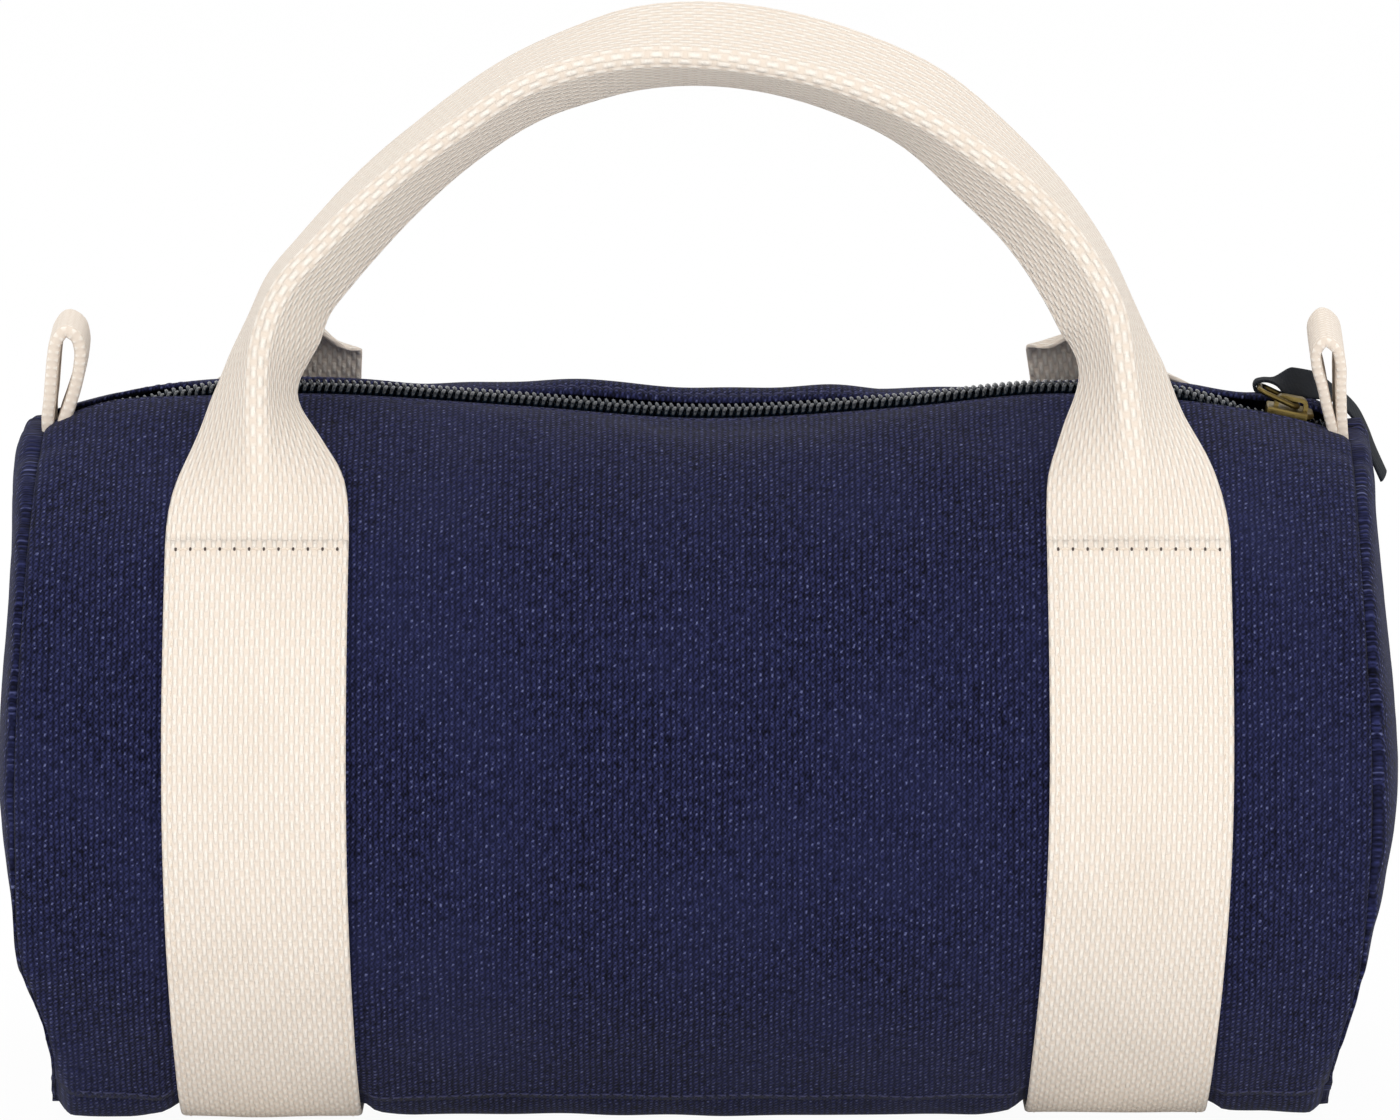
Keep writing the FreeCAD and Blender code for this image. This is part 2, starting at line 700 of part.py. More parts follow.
shell = canvas_shell()
front = front_panel(shell)
lip = front_lip(shell)
front_tape = zip_tape("front_zip_tape", True)
end_panel = right_end_panel()
binding = right_seam_binding()
strap = right_strap()
nodes = [
    front,
    mirrored("back_panel", front, (0, 1, 0)),
    base_panel(shell),
    end_panel,
    mirrored("left_end_panel", end_panel, (1, 0, 0)),
    binding,
    mirrored("left_seam_binding", binding, (1, 0, 0)),
    lip,
    mirrored("back_lip", lip, (0, 1, 0)),
    strap,
    mirrored("left_strap", strap, (1, 0, 0)),
    handle("front_handle", -1, "front_lean_angle"),
    handle("back_handle", 1, "back_lean_angle"),
    tape_loop("left_loop", -1, "left_loop_angle"),
    tape_loop("right_loop", 1, "right_loop_angle"),
    front_tape,
    zip_tape("back_zip_tape", False),
    zip_chain("front_zip_chain", -1),
    zip_chain("back_zip_chain", 1),
    slider_body(),
    slider_crown(),
    pull_ring(),
    pull_ribbon(),
]
doc.recompute()

for thing in doc.Objects:
    if "Invalid" in thing.State or "Error" in thing.State:
        raise RuntimeError(f"{thing.Name} failed: {thing.State}")
for node in nodes:
    if node.Shape.isNull() or not node.Shape.isValid():
        raise RuntimeError(f"{node.Label} has no valid shape")

os.makedirs("parts", exist_ok=True)
for node in nodes:
    node.Shape.exportStep(f"parts/{node.Label}.step")
    box_of = node.Shape.BoundBox
    print(
        f"{node.Label}: {len(node.Shape.Solids)} solid, {node.Shape.Volume / 1000:.2f} cm3, "
        f"x {box_of.XMin:.1f} to {box_of.XMax:.1f}, y {box_of.YMin:.1f} to {box_of.YMax:.1f}, "
        f"z {box_of.ZMin:.1f} to {box_of.ZMax:.1f}"
    )
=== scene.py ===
import math

import bmesh
import bpy
import numpy as np
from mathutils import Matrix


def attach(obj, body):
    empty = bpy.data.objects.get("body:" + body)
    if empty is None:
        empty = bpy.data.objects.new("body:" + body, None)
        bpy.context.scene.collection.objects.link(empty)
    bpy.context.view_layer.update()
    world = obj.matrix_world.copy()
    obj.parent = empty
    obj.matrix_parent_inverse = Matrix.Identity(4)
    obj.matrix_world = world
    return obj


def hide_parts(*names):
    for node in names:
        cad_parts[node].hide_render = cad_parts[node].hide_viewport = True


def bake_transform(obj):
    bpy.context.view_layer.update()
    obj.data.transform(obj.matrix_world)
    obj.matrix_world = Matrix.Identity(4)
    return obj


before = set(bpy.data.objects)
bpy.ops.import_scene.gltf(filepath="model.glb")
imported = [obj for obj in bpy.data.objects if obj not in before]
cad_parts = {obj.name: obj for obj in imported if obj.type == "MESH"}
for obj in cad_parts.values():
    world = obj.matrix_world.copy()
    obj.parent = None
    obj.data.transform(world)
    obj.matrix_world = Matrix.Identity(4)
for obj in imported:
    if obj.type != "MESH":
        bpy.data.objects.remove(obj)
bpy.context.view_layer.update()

mm = 0.001                                      # everything below is drawn in millimetres
print("frame loaded:", len(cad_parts), "nodes")


# small sums used by every piece
def smooth(t):
    t = np.clip(t, 0.0, 1.0)
    return t * t * (3.0 - 2.0 * t)


def through(x, knots, values):                  # an easy curve through a few measured points
    knots = np.asarray(knots, float)
    values = np.asarray(values, float)
    slopes = np.gradient(values, knots)
    x = np.clip(np.asarray(x, float), knots[0], knots[-1])
    k = np.clip(np.searchsorted(knots, x, side="right") - 1, 0, len(knots) - 2)
    step = knots[k + 1] - knots[k]
    t = (x - knots[k]) / step
    rise = 3 * t ** 2 - 2 * t ** 3
    enter = (t ** 3 - 2 * t ** 2 + t) * slopes[k] * step
    leave = (t ** 3 - t ** 2) * slopes[k + 1] * step
    return values[k] * (1 - rise) + values[k + 1] * rise + enter + leave


def ripple(a, b, size, seed):                   # slow unevenness, about -1 to 1
    picks = np.random.default_rng(seed)
    total = 0.0
    for _ in range(7):                          # waves laid over each other
        way = picks.uniform(0, 2 * math.pi)
        pace = picks.uniform(0.6, 1.5) * 2 * math.pi / size
        total = total + np.sin((a * math.cos(way) + b * math.sin(way)) * pace + picks.uniform(0, 2 * math.pi))
    return total / 3.0


def unit(v):
    return v / np.maximum(np.linalg.norm(v, axis=-1, keepdims=True), 1e-9)


def gridNormals(grid):
    return unit(np.cross(np.gradient(grid, axis=0), np.gradient(grid, axis=1)))


def runLength(line):                            # distance along a line of points
    steps = np.linalg.norm(np.diff(line, axis=0), axis=1)
    return np.concatenate([[0.0], np.cumsum(steps)])


# meshes
def makePiece(name, points, faces, uv, material):
    mesh = bpy.data.meshes.new(name)
    mesh.from_pydata((np.asarray(points) * mm).tolist(), [], faces)
    mesh.validate()
    shape = bmesh.new()
    shape.from_mesh(mesh)
    bmesh.ops.recalc_face_normals(shape, faces=shape.faces)
    shape.to_mesh(mesh)
    shape.free()
    corners = np.empty(len(mesh.polygons), int)
    mesh.polygons.foreach_get("loop_total", corners)
    mesh.polygons.foreach_set("use_smooth", corners <= 4)       # cut ends stay flat
    if uv is not None:
        corners = np.empty(len(mesh.loops), int)
        mesh.loops.foreach_get("vertex_index", corners)
        layer = mesh.uv_layers.new(name="weave")
        layer.data.foreach_set("uv", (np.asarray(uv)[corners] * mm).astype(np.float32).ravel())
    mesh.materials.append(material)
    piece = bpy.data.objects.new(name, mesh)
    bpy.context.scene.collection.objects.link(piece)
    return piece


def quads(rows, cols, first=0, closeRows=False, closeCols=False):
    r = np.arange(rows if closeRows else rows - 1)
    c = np.arange(cols if closeCols else cols - 1)
    r, c = np.meshgrid(r, c, indexing="ij")
    below = (r + 1) % rows
    beside = (c + 1) % cols
    corners = np.stack([r * cols + c, below * cols + c, below * cols + beside, r * cols + beside], -1)
    return (corners.reshape(-1, 4) + first).tolist()


def clothPiece(name, outer, inner, uv, material, slotName):      # two faces of a cloth and its cut edge
    rows, cols = outer.shape[:2]
    count = rows * cols
    points = np.concatenate([outer.reshape(-1, 3), inner.reshape(-1, 3)])
    faces = quads(rows, cols) + [f[::-1] for f in quads(rows, cols, count)]
    at = np.arange(count).reshape(rows, cols)
    edge = np.concatenate([at[0, :-1], at[:-1, -1], at[-1, :0:-1], at[:0:-1, 0]])
    for a, b in zip(edge, np.roll(edge, -1)):
        faces.append([int(a), int(b), int(b) + count, int(a) + count])
    flat = uv.reshape(-1, 2)
    return makePiece(name, points, faces, np.concatenate([flat, flat]), material)


def tapePiece(name, rings, uv, material, closed=False):   # rings of points, one after the other
    rows, cols = rings.shape[:2]
    faces = quads(rows, cols, closeRows=closed, closeCols=True)
    if not closed:
        faces += [list(range(cols))[::-1], list(range((rows - 1) * cols, rows * cols))]
    return makePiece(name, rings.reshape(-1, 3), faces, uv.reshape(-1, 2), material)


def tapeEdge(width, thick, groove=0.0, inset=2.5):      # outline of woven tape, rounded at both selvages
    half = width / 2
    across = np.concatenate([[-half + 0.12, -half + 0.5, -half + 1.1], np.linspace(-half + 1.7, half - 1.7, 25),
                             [half - 1.1, half - 0.5, half - 0.12]])
    dip = np.exp(-((half - np.abs(across) - inset) / 0.55) ** 2) * groove
    crown = 0.5 - 0.22 * np.clip(1 - (half - np.abs(across)) / 1.3, 0, 1) ** 2
    top = crown * thick - dip
    low = -crown * thick
    sides = np.concatenate([across, [half], across[::-1], [-half]])
    levels = np.concatenate([top, [0.0], low[::-1], [0.0]])
    return sides, levels


def threadPiece(name, centres, ways, ups, length, thick, material):   # a row of short stitches
    rounds = 6
    shares = np.array([-1.0, -0.82, -0.4, 0.0, 0.4, 0.82, 1.0])
    girths = np.array([0.25, 0.72, 1.0, 1.0, 1.0, 0.72, 0.25]) * thick / 2
    rise = (1 - shares ** 2) * thick * 0.45 - thick * 0.25      # the ends go down into the cloth
    ways = unit(ways)
    ups = unit(ups)
    sides = np.cross(ways, ups)
    turn = np.arange(rounds) * 2 * math.pi / rounds
    ring = girths[:, None] * np.cos(turn)
    ringUp = girths[:, None] * np.sin(turn) + rise[:, None]
    points = (centres[:, None, None, :] + (shares * length / 2)[None, :, None, None] * ways[:, None, None, :]
              + ring[None, :, :, None] * sides[:, None, None, :] + ringUp[None, :, :, None] * ups[:, None, None, :])
    perStitch = len(shares) * rounds
    base = np.array(quads(len(shares), rounds, closeCols=True))
    faces = []
    last = perStitch - rounds
    for k in range(len(centres)):
        faces += (base + k * perStitch).tolist()
        faces.append([k * perStitch + v for v in range(rounds)][::-1])
        faces.append([k * perStitch + last + v for v in range(rounds)])
    return makePiece(name, points.reshape(-1, 3), faces, None, material)


# materials, all from nodes
def paint(red, green, blue):                    # a colour as read off a picture, 0 to 255
    parts = [c / 255 for c in (red, green, blue)]
    return tuple(c / 12.92 if c <= 0.04045 else ((c + 0.055) / 1.055) ** 2.4 for c in parts) + (1.0,)


def newMaterial(name, roughness, specular, metallic=0.0, sheen=0.0):
    material = bpy.data.materials.new(name)
    material.use_nodes = True
    tree = material.node_tree
    shader = tree.nodes["Principled BSDF"]
    shader.inputs["Roughness"].default_value = roughness
    shader.inputs["Specular IOR Level"].default_value = specular
    shader.inputs["Metallic"].default_value = metallic
    shader.inputs["Sheen Weight"].default_value = sheen
    return material, tree, shader


def calc(tree, operation, first, second=None, clamp=False):
    node = tree.nodes.new("ShaderNodeMath")
    node.operation = operation
    node.use_clamp = clamp
    for socket, value in zip(node.inputs, (first, second)):
        if value is None:
            continue
        if isinstance(value, (int, float)):
            socket.default_value = value
        else:
            tree.links.new(value, socket)
    return node.outputs[0]


def tint(tree, share, low, high):
    node = tree.nodes.new("ShaderNodeMix")
    node.data_type = "RGBA"
    tree.links.new(share, node.inputs[0])
    for socket, value in zip((node.inputs[6], node.inputs[7]), (low, high)):
        if isinstance(value, tuple):
            socket.default_value = value
        else:
            tree.links.new(value, socket)
    return node.outputs[2]


def noise(tree, vector, scale, detail=2.0):
    node = tree.nodes.new("ShaderNodeTexNoise")
    node.inputs["Scale"].default_value = scale
    node.inputs["Detail"].default_value = detail
    tree.links.new(vector, node.inputs["Vector"])
    return node.outputs["Fac"]


def between(tree, value, low, high):            # 0 below low, 1 above high
    node = tree.nodes.new("ShaderNodeMapRange")
    node.inputs["From Min"].default_value = low
    node.inputs["From Max"].default_value = high
    tree.links.new(value, node.inputs["Value"])
    return node.outputs["Result"]


def bumped(tree, shader, height, depth, strength=1.0):
    node = tree.nodes.new("ShaderNodeBump")
    node.inputs["Strength"].default_value = strength
    node.inputs["Distance"].default_value = depth
    tree.links.new(height, node.inputs["Height"])
    tree.links.new(node.outputs["Normal"], shader.inputs["Normal"])


def clothCoords(tree):
    coords = tree.nodes.new("ShaderNodeTexCoord")
    split = tree.nodes.new("ShaderNodeSeparateXYZ")
    tree.links.new(coords.outputs["UV"], split.inputs["Vector"])
    return coords.outputs["UV"], coords.outputs["Object"], split.outputs["X"], split.outputs["Y"]


def floats(tree, across, along, pitch, repeat, length):     # raised ovals of yarn, neighbours half a repeat apart
    column = calc(tree, "DIVIDE", across, pitch)
    number = calc(tree, "FLOOR", column)
    odd = calc(tree, "FLOORED_MODULO", number, 2.0)
    row = calc(tree, "ADD", calc(tree, "DIVIDE", along, repeat), calc(tree, "MULTIPLY", odd, 0.5))
    side = calc(tree, "SUBTRACT", calc(tree, "FRACT", column), 0.5)
    ahead = calc(tree, "SUBTRACT", calc(tree, "FRACT", row), 0.5)
    round1 = calc(tree, "SUBTRACT", 1.0, calc(tree, "POWER", calc(tree, "MULTIPLY", side, 2.0), 2.0))
    reach = calc(tree, "POWER", calc(tree, "DIVIDE", ahead, length), 2.0)
    round2 = calc(tree, "SUBTRACT", 1.0, reach, clamp=True)
    return calc(tree, "MULTIPLY", round1, round2)


def shaken(tree, value, vector, scale, depth):  # a coordinate that wanders a little
    return calc(tree, "ADD", value, calc(tree, "MULTIPLY", noise(tree, vector, scale), depth))


weave = {
    "columns": 1.58, "rows": 1.69, "zigzag": 0.3, "knots": 0.27, "ribs": 0.24, "relief": 0.42,
    # deep is painted shade for the hollows between the yarns, mid is the yarn's own colour
    "deep": paint(2, 2, 13), "mid": paint(45, 49, 92),
    "raisedFleck": paint(116, 122, 164), "raisedFleckShare": 0.8, "worn": paint(37, 41, 76), "wornShare": 0.35,
}


def canvasMaterial(name):
    material, tree, shader = newMaterial(name, 0.92, 0.1, sheen=0.05)
    shader.inputs["Sheen Roughness"].default_value = 0.5
    uv, place, across, along = clothCoords(tree)
    wander = calc(tree, "MULTIPLY", noise(tree, uv, 90.0), 0.0011)
    across = shaken(tree, calc(tree, "ADD", across, wander), uv, 430.0, 0.0009)
    along = shaken(tree, calc(tree, "ADD", along, wander), uv, 520.0, 0.0012)
    ahead = calc(tree, "MULTIPLY", along, 2 * math.pi / (weave["rows"] * mm))
    column = calc(tree, "MULTIPLY", across, math.pi / (weave["columns"] * mm))
    zigzag = calc(tree, "MULTIPLY", calc(tree, "COSINE", column), calc(tree, "SINE", ahead))
    column = calc(tree, "ADD", column, calc(tree, "MULTIPLY", zigzag, weave["zigzag"]))
    rib = calc(tree, "COSINE", calc(tree, "MULTIPLY", column, 2.0))
    narrow = calc(tree, "COSINE", calc(tree, "MULTIPLY", column, 3.0))          # makes the knots narrower
    knots = calc(tree, "ADD", calc(tree, "COSINE", column), narrow)
    knots = calc(tree, "MULTIPLY", knots, calc(tree, "COSINE", ahead))
    height = calc(tree, "MULTIPLY", knots, weave["knots"])
    height = calc(tree, "ADD", height, calc(tree, "MULTIPLY", rib, weave["ribs"]))
    height = calc(tree, "ADD", height, 0.5)
    slub = noise(tree, uv, 420.0, 3.0)
    height = calc(tree, "MULTIPLY", height, between(tree, slub, 0.1, 0.62))
    # painted shade: the low parts of the weave take the near-black deep colour; the slub mask also lowers the height,
    # so thin yarn runs darker too
    colour = tint(tree, between(tree, height, 0.1, 0.8), weave["deep"], weave["mid"])
    wear = between(tree, noise(tree, place, 22.0, 5.0), 0.42, 0.72)
    colour = tint(tree, calc(tree, "MULTIPLY", wear, weave["wornShare"]), colour, weave["worn"])
    # small lighter flecks, only on the raised yarns
    points = between(tree, noise(tree, uv, 700.0, 2.0), 0.50, 0.74)
    points = calc(tree, "MULTIPLY", points, between(tree, height, 0.45, 0.85))
    colour = tint(tree, calc(tree, "MULTIPLY", points, weave["raisedFleckShare"]), colour, weave["raisedFleck"])
    tree.links.new(colour, shader.inputs["Base Color"])
    fuzz = calc(tree, "MULTIPLY", noise(tree, uv, 1500.0, 2.0), 0.25)
    bumped(tree, shader, calc(tree, "ADD", height, fuzz), weave["relief"] * mm, 0.9)
    return material


belt = {
    "columns": 1.38, "repeat": 5.3,
    "cream": paint(247, 239, 228), "shade": paint(230, 216, 201), "fleck": paint(216, 198, 178),
}


def webbingMaterial(name, columns, repeat, relief):
    material, tree, shader = newMaterial(name, 0.86, 0.25, sheen=0.1)
    shader.inputs["Sheen Roughness"].default_value = 0.5
    uv, place, across, along = clothCoords(tree)
    along = shaken(tree, along, uv, 60.0, 0.0009)
    height = floats(tree, across, along, columns * mm, repeat * mm, 0.40)
    fibre = noise(tree, uv, 1100.0, 3.0)
    height = calc(tree, "MULTIPLY", height, between(tree, fibre, -0.3, 0.6))
    colour = tint(tree, between(tree, height, 0.6 - 1000 * relief, 0.75), belt["shade"], belt["cream"])
    soil = between(tree, noise(tree, place, 30.0, 4.0), 0.52, 0.8)
    colour = tint(tree, calc(tree, "MULTIPLY", soil, 0.22), colour, belt["fleck"])
    tree.links.new(colour, shader.inputs["Base Color"])
    bumped(tree, shader, calc(tree, "ADD", height, calc(tree, "MULTIPLY", fibre, 0.2)), relief, 0.9)
    return material


def threadMaterial(name, light, dark):
    material, tree, shader = newMaterial(name, 0.6, 0.35)
    coords = tree.nodes.new("ShaderNodeTexCoord")
    ply = noise(tree, coords.outputs["Object"], 2400.0, 1.0)
    tree.links.new(tint(tree, ply, dark, light), shader.inputs["Base Color"])
    bumped(tree, shader, ply, 0.0002, 0.6)
    return material


def ribbedMaterial(name, light, dark, pitch, roughness):     # fine ribs across a tape or ribbon
    material, tree, shader = newMaterial(name, roughness, 0.3)
    uv, _, _, along = clothCoords(tree)
    rib = calc(tree, "FRACT", calc(tree, "DIVIDE", along, pitch * mm))
    fromCrest = calc(tree, "SUBTRACT", calc(tree, "MULTIPLY", rib, 2.0), 1.0)
    height = calc(tree, "SUBTRACT", 1.0, calc(tree, "POWER", fromCrest, 2.0))
    height = calc(tree, "MULTIPLY", height, between(tree, noise(tree, uv, 900.0), 0.0, 0.7))
    # painted shade: the hollows between the ribs take the dark colour and the crests take the light one
    tree.links.new(tint(tree, height, dark, light), shader.inputs["Base Color"])
    bumped(tree, shader, height, 0.0002, 0.8)
    return material


def coilMaterial(name):
    material, tree, shader = newMaterial(name, 0.2, 0.4)
    coords = tree.nodes.new("ShaderNodeTexCoord")
    shade = noise(tree, coords.outputs["Object"], 260.0, 2.0)
    tree.links.new(tint(tree, shade, paint(5, 10, 17), paint(18, 31, 44)), shader.inputs["Base Color"])
    tree.links.new(between(tree, shade, 0.1, 2.6), shader.inputs["Roughness"])
    return material


def brassMaterial(name):
    material, tree, shader = newMaterial(name, 0.35, 0.5, metallic=1.0)
    coords = tree.nodes.new("ShaderNodeTexCoord")
    tarnish = noise(tree, coords.outputs["Object"], 420.0, 5.0)
    edges = tree.nodes.new("ShaderNodeNewGeometry")
    worn = between(tree, edges.outputs["Pointiness"], 0.47, 0.56)
    colour = tint(tree, between(tree, tarnish, 0.35, 0.7), paint(36, 28, 12), paint(82, 68, 34))
    colour = tint(tree, worn, colour, paint(134, 117, 70))
    tree.links.new(colour, shader.inputs["Base Color"])
    tree.links.new(between(tree, tarnish, -0.35, 1.7), shader.inputs["Roughness"])
    bumped(tree, shader, tarnish, 0.00015, 0.5)
    return material


canvasCloth = canvasMaterial("navyCanvas")
creamWebbing = webbingMaterial("creamWebbing", belt["columns"], belt["repeat"], 0.0006)
creamTape = webbingMaterial("creamTape", 0.9, 2.2, 0.0002)
creamThread = threadMaterial("creamThread", paint(250, 240, 226), paint(206, 186, 164))
navyThread = threadMaterial("navyThread", paint(64, 66, 104), paint(30, 32, 66))
# dark colours for the needle holes: painted shade inside the holes
needleHoleShade = threadMaterial("needleHoleShade", paint(92, 78, 70), paint(50, 42, 44))
# the second colour of each ribbed tape is painted shade for its rib hollows
zipCloth = ribbedMaterial("zipTape", paint(40, 46, 78), paint(18, 22, 46), 0.7, 0.8)
bindingCloth = ribbedMaterial("bindingTape", paint(46, 48, 84), paint(24, 26, 56), 0.9, 0.85)
ribbonCloth = ribbedMaterial("tealRibbon", paint(15, 23, 34), paint(6, 10, 17), 0.6, 0.85)
nylonCoil = coilMaterial("nylonCoil")
oldBrass = brassMaterial("oldBrass")
print("materials ready")


# the soft barrel that every sewn piece lies on
bag = {
    "centre": 96.8, "radius": 100.0, "half": 182.0, "floor": 2.8, "canvas": 1.2, "shoulder": 135.0, "sag": 2.6,
    "leftSeam": ([0, 45, 95, 118, 127, 136, 155, 180], [180.6, 184.0, 186.6, 185.2, 181.4, 178.6, 178.8, 179.2]),
    "rightSeam": ([0, 45, 95, 120, 140, 155, 180], [179.4, 180.8, 182.8, 180.2, 174.6, 173.4, 173.2]),
    "leftDrop": ([0, 40, 100, 130, 150, 180], [6.2, 7.0, 9.0, 5.0, 1.0, 0.5]),
    "rightDrop": ([0, 100, 130, 150, 180], [9.0, 9.0, 5.0, 1.0, 0.5]),
    "zipLine": ([-182, -167, -140, -111, -50, 0, 55, 97, 128, 142, 182],
                [0.3, 2.8, 2.3, 2.9, -0.6, -4.1, -1.1, 2.8, 1.5, 0.1, 0.0]),
    "crest": ([-178, -168, -158, -148, -130, -110, -93, -72, -50, -30, -10,
               10, 36, 52, 70, 90, 110, 130, 150, 168, 178],
              [-1.0, -3.4, -2.4, -0.6, 0.6, 1.0, 0.6, 0.0, 1.8, 4.2, 4.0,
               3.5, 2.6, 0.2, -1.4, -1.2, 0.4, 1.2, 0.6, 3.6, 1.5]),
    "seamRoll": 2.4, "seamSink": 1.5, "hemRoll": 1.7, "hemSink": 1.2, "hemGroove": 0.3, "grooveAt": 2.9,
    "lipAngle": 4.6, "baseAngle": 147.0, "crestAngle": 9.0, "floorSoft": 1.3,
}
fill = {
    "broad": 0.8, "fine": 0.25, "held": 0.9, "drawnIn": 0.45, "gather": 0.5, "tuck": 1.2,
    "settleAngle": 158.0, "settled": 1.0, "spread": 4.2, "tip": 0.005, "hollow": 2.2, "hollowAt": 154.0,
}
strap = {
    "width": 50.0, "thick": 2.5, "gap": 0.3, "stitchAngle": 43.5, "girth": 102.0, "turns": [43, 90, 140, 180],
    "left": [-120.7, -121.0, -119.2, -118.0], "right": [119.5, 119.6, 115.9, 114.5],
}


def turnOf(angle):
    return np.abs((np.asarray(angle, float) + 180.0) % 360.0 - 180.0)


def strapMiddle(angle, side):
    return through(turnOf(angle), strap["turns"], strap["left"] if side < 0 else strap["right"])


def nearestStrap(x, angle):                     # distance to the middle of the nearer strap
    return np.minimum(np.abs(x - strapMiddle(angle, -1)), np.abs(x - strapMiddle(angle, 1)))


def endReach(angle, side):
    turn = turnOf(angle)
    return np.where(np.asarray(side) < 0, through(turn, *bag["leftSeam"]), through(turn, *bag["rightSeam"]))


def zipShift(x):
    return through(x, *bag["zipLine"])


def fullness(x, angle, fromEnd):
    turn = turnOf(angle)
    arc = angle * math.pi / 180 * bag["radius"]
    still = 1 - np.exp(-((turn - strap["stitchAngle"]) / 9.0) ** 2)     # smooth where the handles are sewn on
    swell = (fill["broad"] * ripple(x, arc, 95.0, 3) + fill["fine"] * ripple(x, arc, 34.0, 4)) * still
    under = smooth((turn - 30.0) / 20.0)
    for side in (-1, 1):                        # the straps hold the canvas in
        near = np.abs(x - strapMiddle(angle, side))
        swell = swell + fill["held"] * smooth((near - 24.0) / 9.0) * under - fill["drawnIn"] * under
    near = nearestStrap(x, angle)
    spread = fill["settled"] + fill["spread"] * smooth((near - 25.0) / 5.0) - fill["tip"] * x
    spread = spread - fill["hollow"] * np.exp(-((x - fill["hollowAt"]) / 9.0) ** 2)
    settled = np.exp(-((turn - fill["settleAngle"]) / 14.0) ** 2) * smooth(fromEnd / 5.0)
    swell = swell + settled * spread            # the filled bag spreads where it stands
    gather = np.exp(-fromEnd / 8.0) * ripple(arc, 0 * arc, 15.0, 6)
    tuck = np.exp(-((turn - 152.0) / 7.0) ** 2) * np.exp(-(fromEnd / 6.0) ** 2)
    return swell + fill["gather"] * gather - fill["tuck"] * tuck


def barrel(along, angle, lift=0.0):             # along -1 to 1 from seam to seam, angle in degrees from the top
    along, angle = np.broadcast_arrays(np.asarray(along, float), np.asarray(angle, float))
    turn = turnOf(angle)
    reach = endReach(angle, along)
    x = along * reach
    fromEnd = reach - np.abs(x)
    share = np.clip((np.abs(x) - bag["shoulder"]) / (reach - bag["shoulder"]), 0, 1)
    drop = np.where(along < 0, through(turn, *bag["leftDrop"]), through(turn, *bag["rightDrop"])) * share ** 2
    roll = np.clip(1 - fromEnd / bag["seamRoll"], 0, 1)
    drop = drop + bag["seamSink"] * (1 - np.sqrt(1 - 0.99 * roll ** 2))
    fromLip = (turn - bag["lipAngle"]) * math.pi / 180 * bag["radius"]
    hem = np.clip(1 - fromLip / bag["hemRoll"], 0, 1)
    drop = drop + bag["hemSink"] * (1 - np.sqrt(1 - 0.99 * hem ** 2))
    drop = drop + bag["hemGroove"] * np.exp(-((fromLip - bag["grooveAt"]) / 0.6) ** 2)
    girth = bag["radius"] - drop + fullness(x, angle, fromEnd) * smooth(fromLip / 14.0) + lift
    way = np.radians(angle)
    y = -girth * np.sin(way)
    z = bag["centre"] + girth * np.cos(way)
    z = z + zipShift(x) * np.exp(-(np.maximum(turn - bag["lipAngle"], 0) / 11.0) ** 2)
    # the back canvas stands up behind the zip
    crest = np.exp(-((turn - bag["crestAngle"]) / 5.0) ** 2) * (np.sin(way) < 0)
    z = z + crest * through(x, *bag["crest"])
    floor = bag["floor"] - bag["sag"] * smooth((nearestStrap(x, angle) - 26.0) / 14.0) - lift
    z = floor + bag["floorSoft"] * np.logaddexp(0, (z - floor) / bag["floorSoft"])
    return np.stack([x, y, z], -1)


def outward(grid):                              # grid normals turned away from the barrel's axis
    normals = gridNormals(grid)
    away = grid - np.array([0.0, 0.0, bag["centre"]])
    away[..., 0] *= 0.2
    flip = np.sign(np.sum(normals * away, -1).mean())
    return normals * flip


def followMouth(piece):
    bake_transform(piece)
    spots = np.empty(len(piece.data.vertices) * 3, np.float32)
    piece.data.vertices.foreach_get("co", spots)


# rows of points lie closer together by the end seams
endSteps = np.array([0, 0.3, 0.7, 1.2, 1.8, 2.5, 3.3, 4.3, 5.7, 7.5, 9.7]) / bag["half"]
evenTo = 1 - 12 / bag["half"]
alongs = np.concatenate([-1 + endSteps, np.linspace(-evenTo, evenTo, 149), (1 - endSteps)[::-1]])


def canvasGrid(angles, lift=0.0):
    grid = barrel(alongs[:, None], np.asarray(angles)[None, :], lift)
    inner = grid - outward(grid) * bag["canvas"]
    arcs = np.broadcast_to(np.radians(angles) * bag["radius"], grid.shape[:2])
    return grid, inner, np.stack([grid[..., 0], arcs], -1)


lipAngles = np.array([4.6, 4.72, 4.9, 5.15, 5.45, 5.8, 6.2, 6.6, 7.1, 7.7, 8.4, 9.2])
panelAngles = np.concatenate([lipAngles, np.linspace(10.3, bag["baseAngle"], 92)])
for side, word in ((1, "front"), (-1, "back")):
    piece = clothPiece(word + "Canvas", *canvasGrid(side * panelAngles), canvasCloth, "canvas")
    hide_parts(word + "_panel", word + "_lip")
    followMouth(piece)
piece = clothPiece("baseCanvas", *canvasGrid(np.linspace(145.6, 214.4, 60), -0.9), canvasCloth, "canvas")
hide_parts("base_panel")
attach(piece, "bag")
print("canvas barrel laid out")


# round ends, sewn in with the edges turned inside
dome = {
    "power": 3.0, "steps": 101, "rimLift": 0.8, "rimTurn": 0.22, "pucker": 0.5, "sway": 0.45,
    "gap": 0.25, "closing": 0.45,
    "left": ([-95, -85, -72, -60, -42, -20, 2, 24, 46, 68, 81.7, 88, 91, 94],
             [178.6, 178.4, 178.8, 181.2, 184.6, 189.2, 192.4, 192.2, 190.8, 189.8, 189.5, 188.3, 186.8, 184.0]),
    "right": ([-95, -85, -72, -64.7, -42.5, -20, 2, 24, 46, 70, 81.7, 88, 91],
              [172.6, 173.2, 175.2, 178.2, 183.4, 189.0, 192.2, 191.4, 189.1, 186.8, 186.2, 184.8, 183.0]),
}


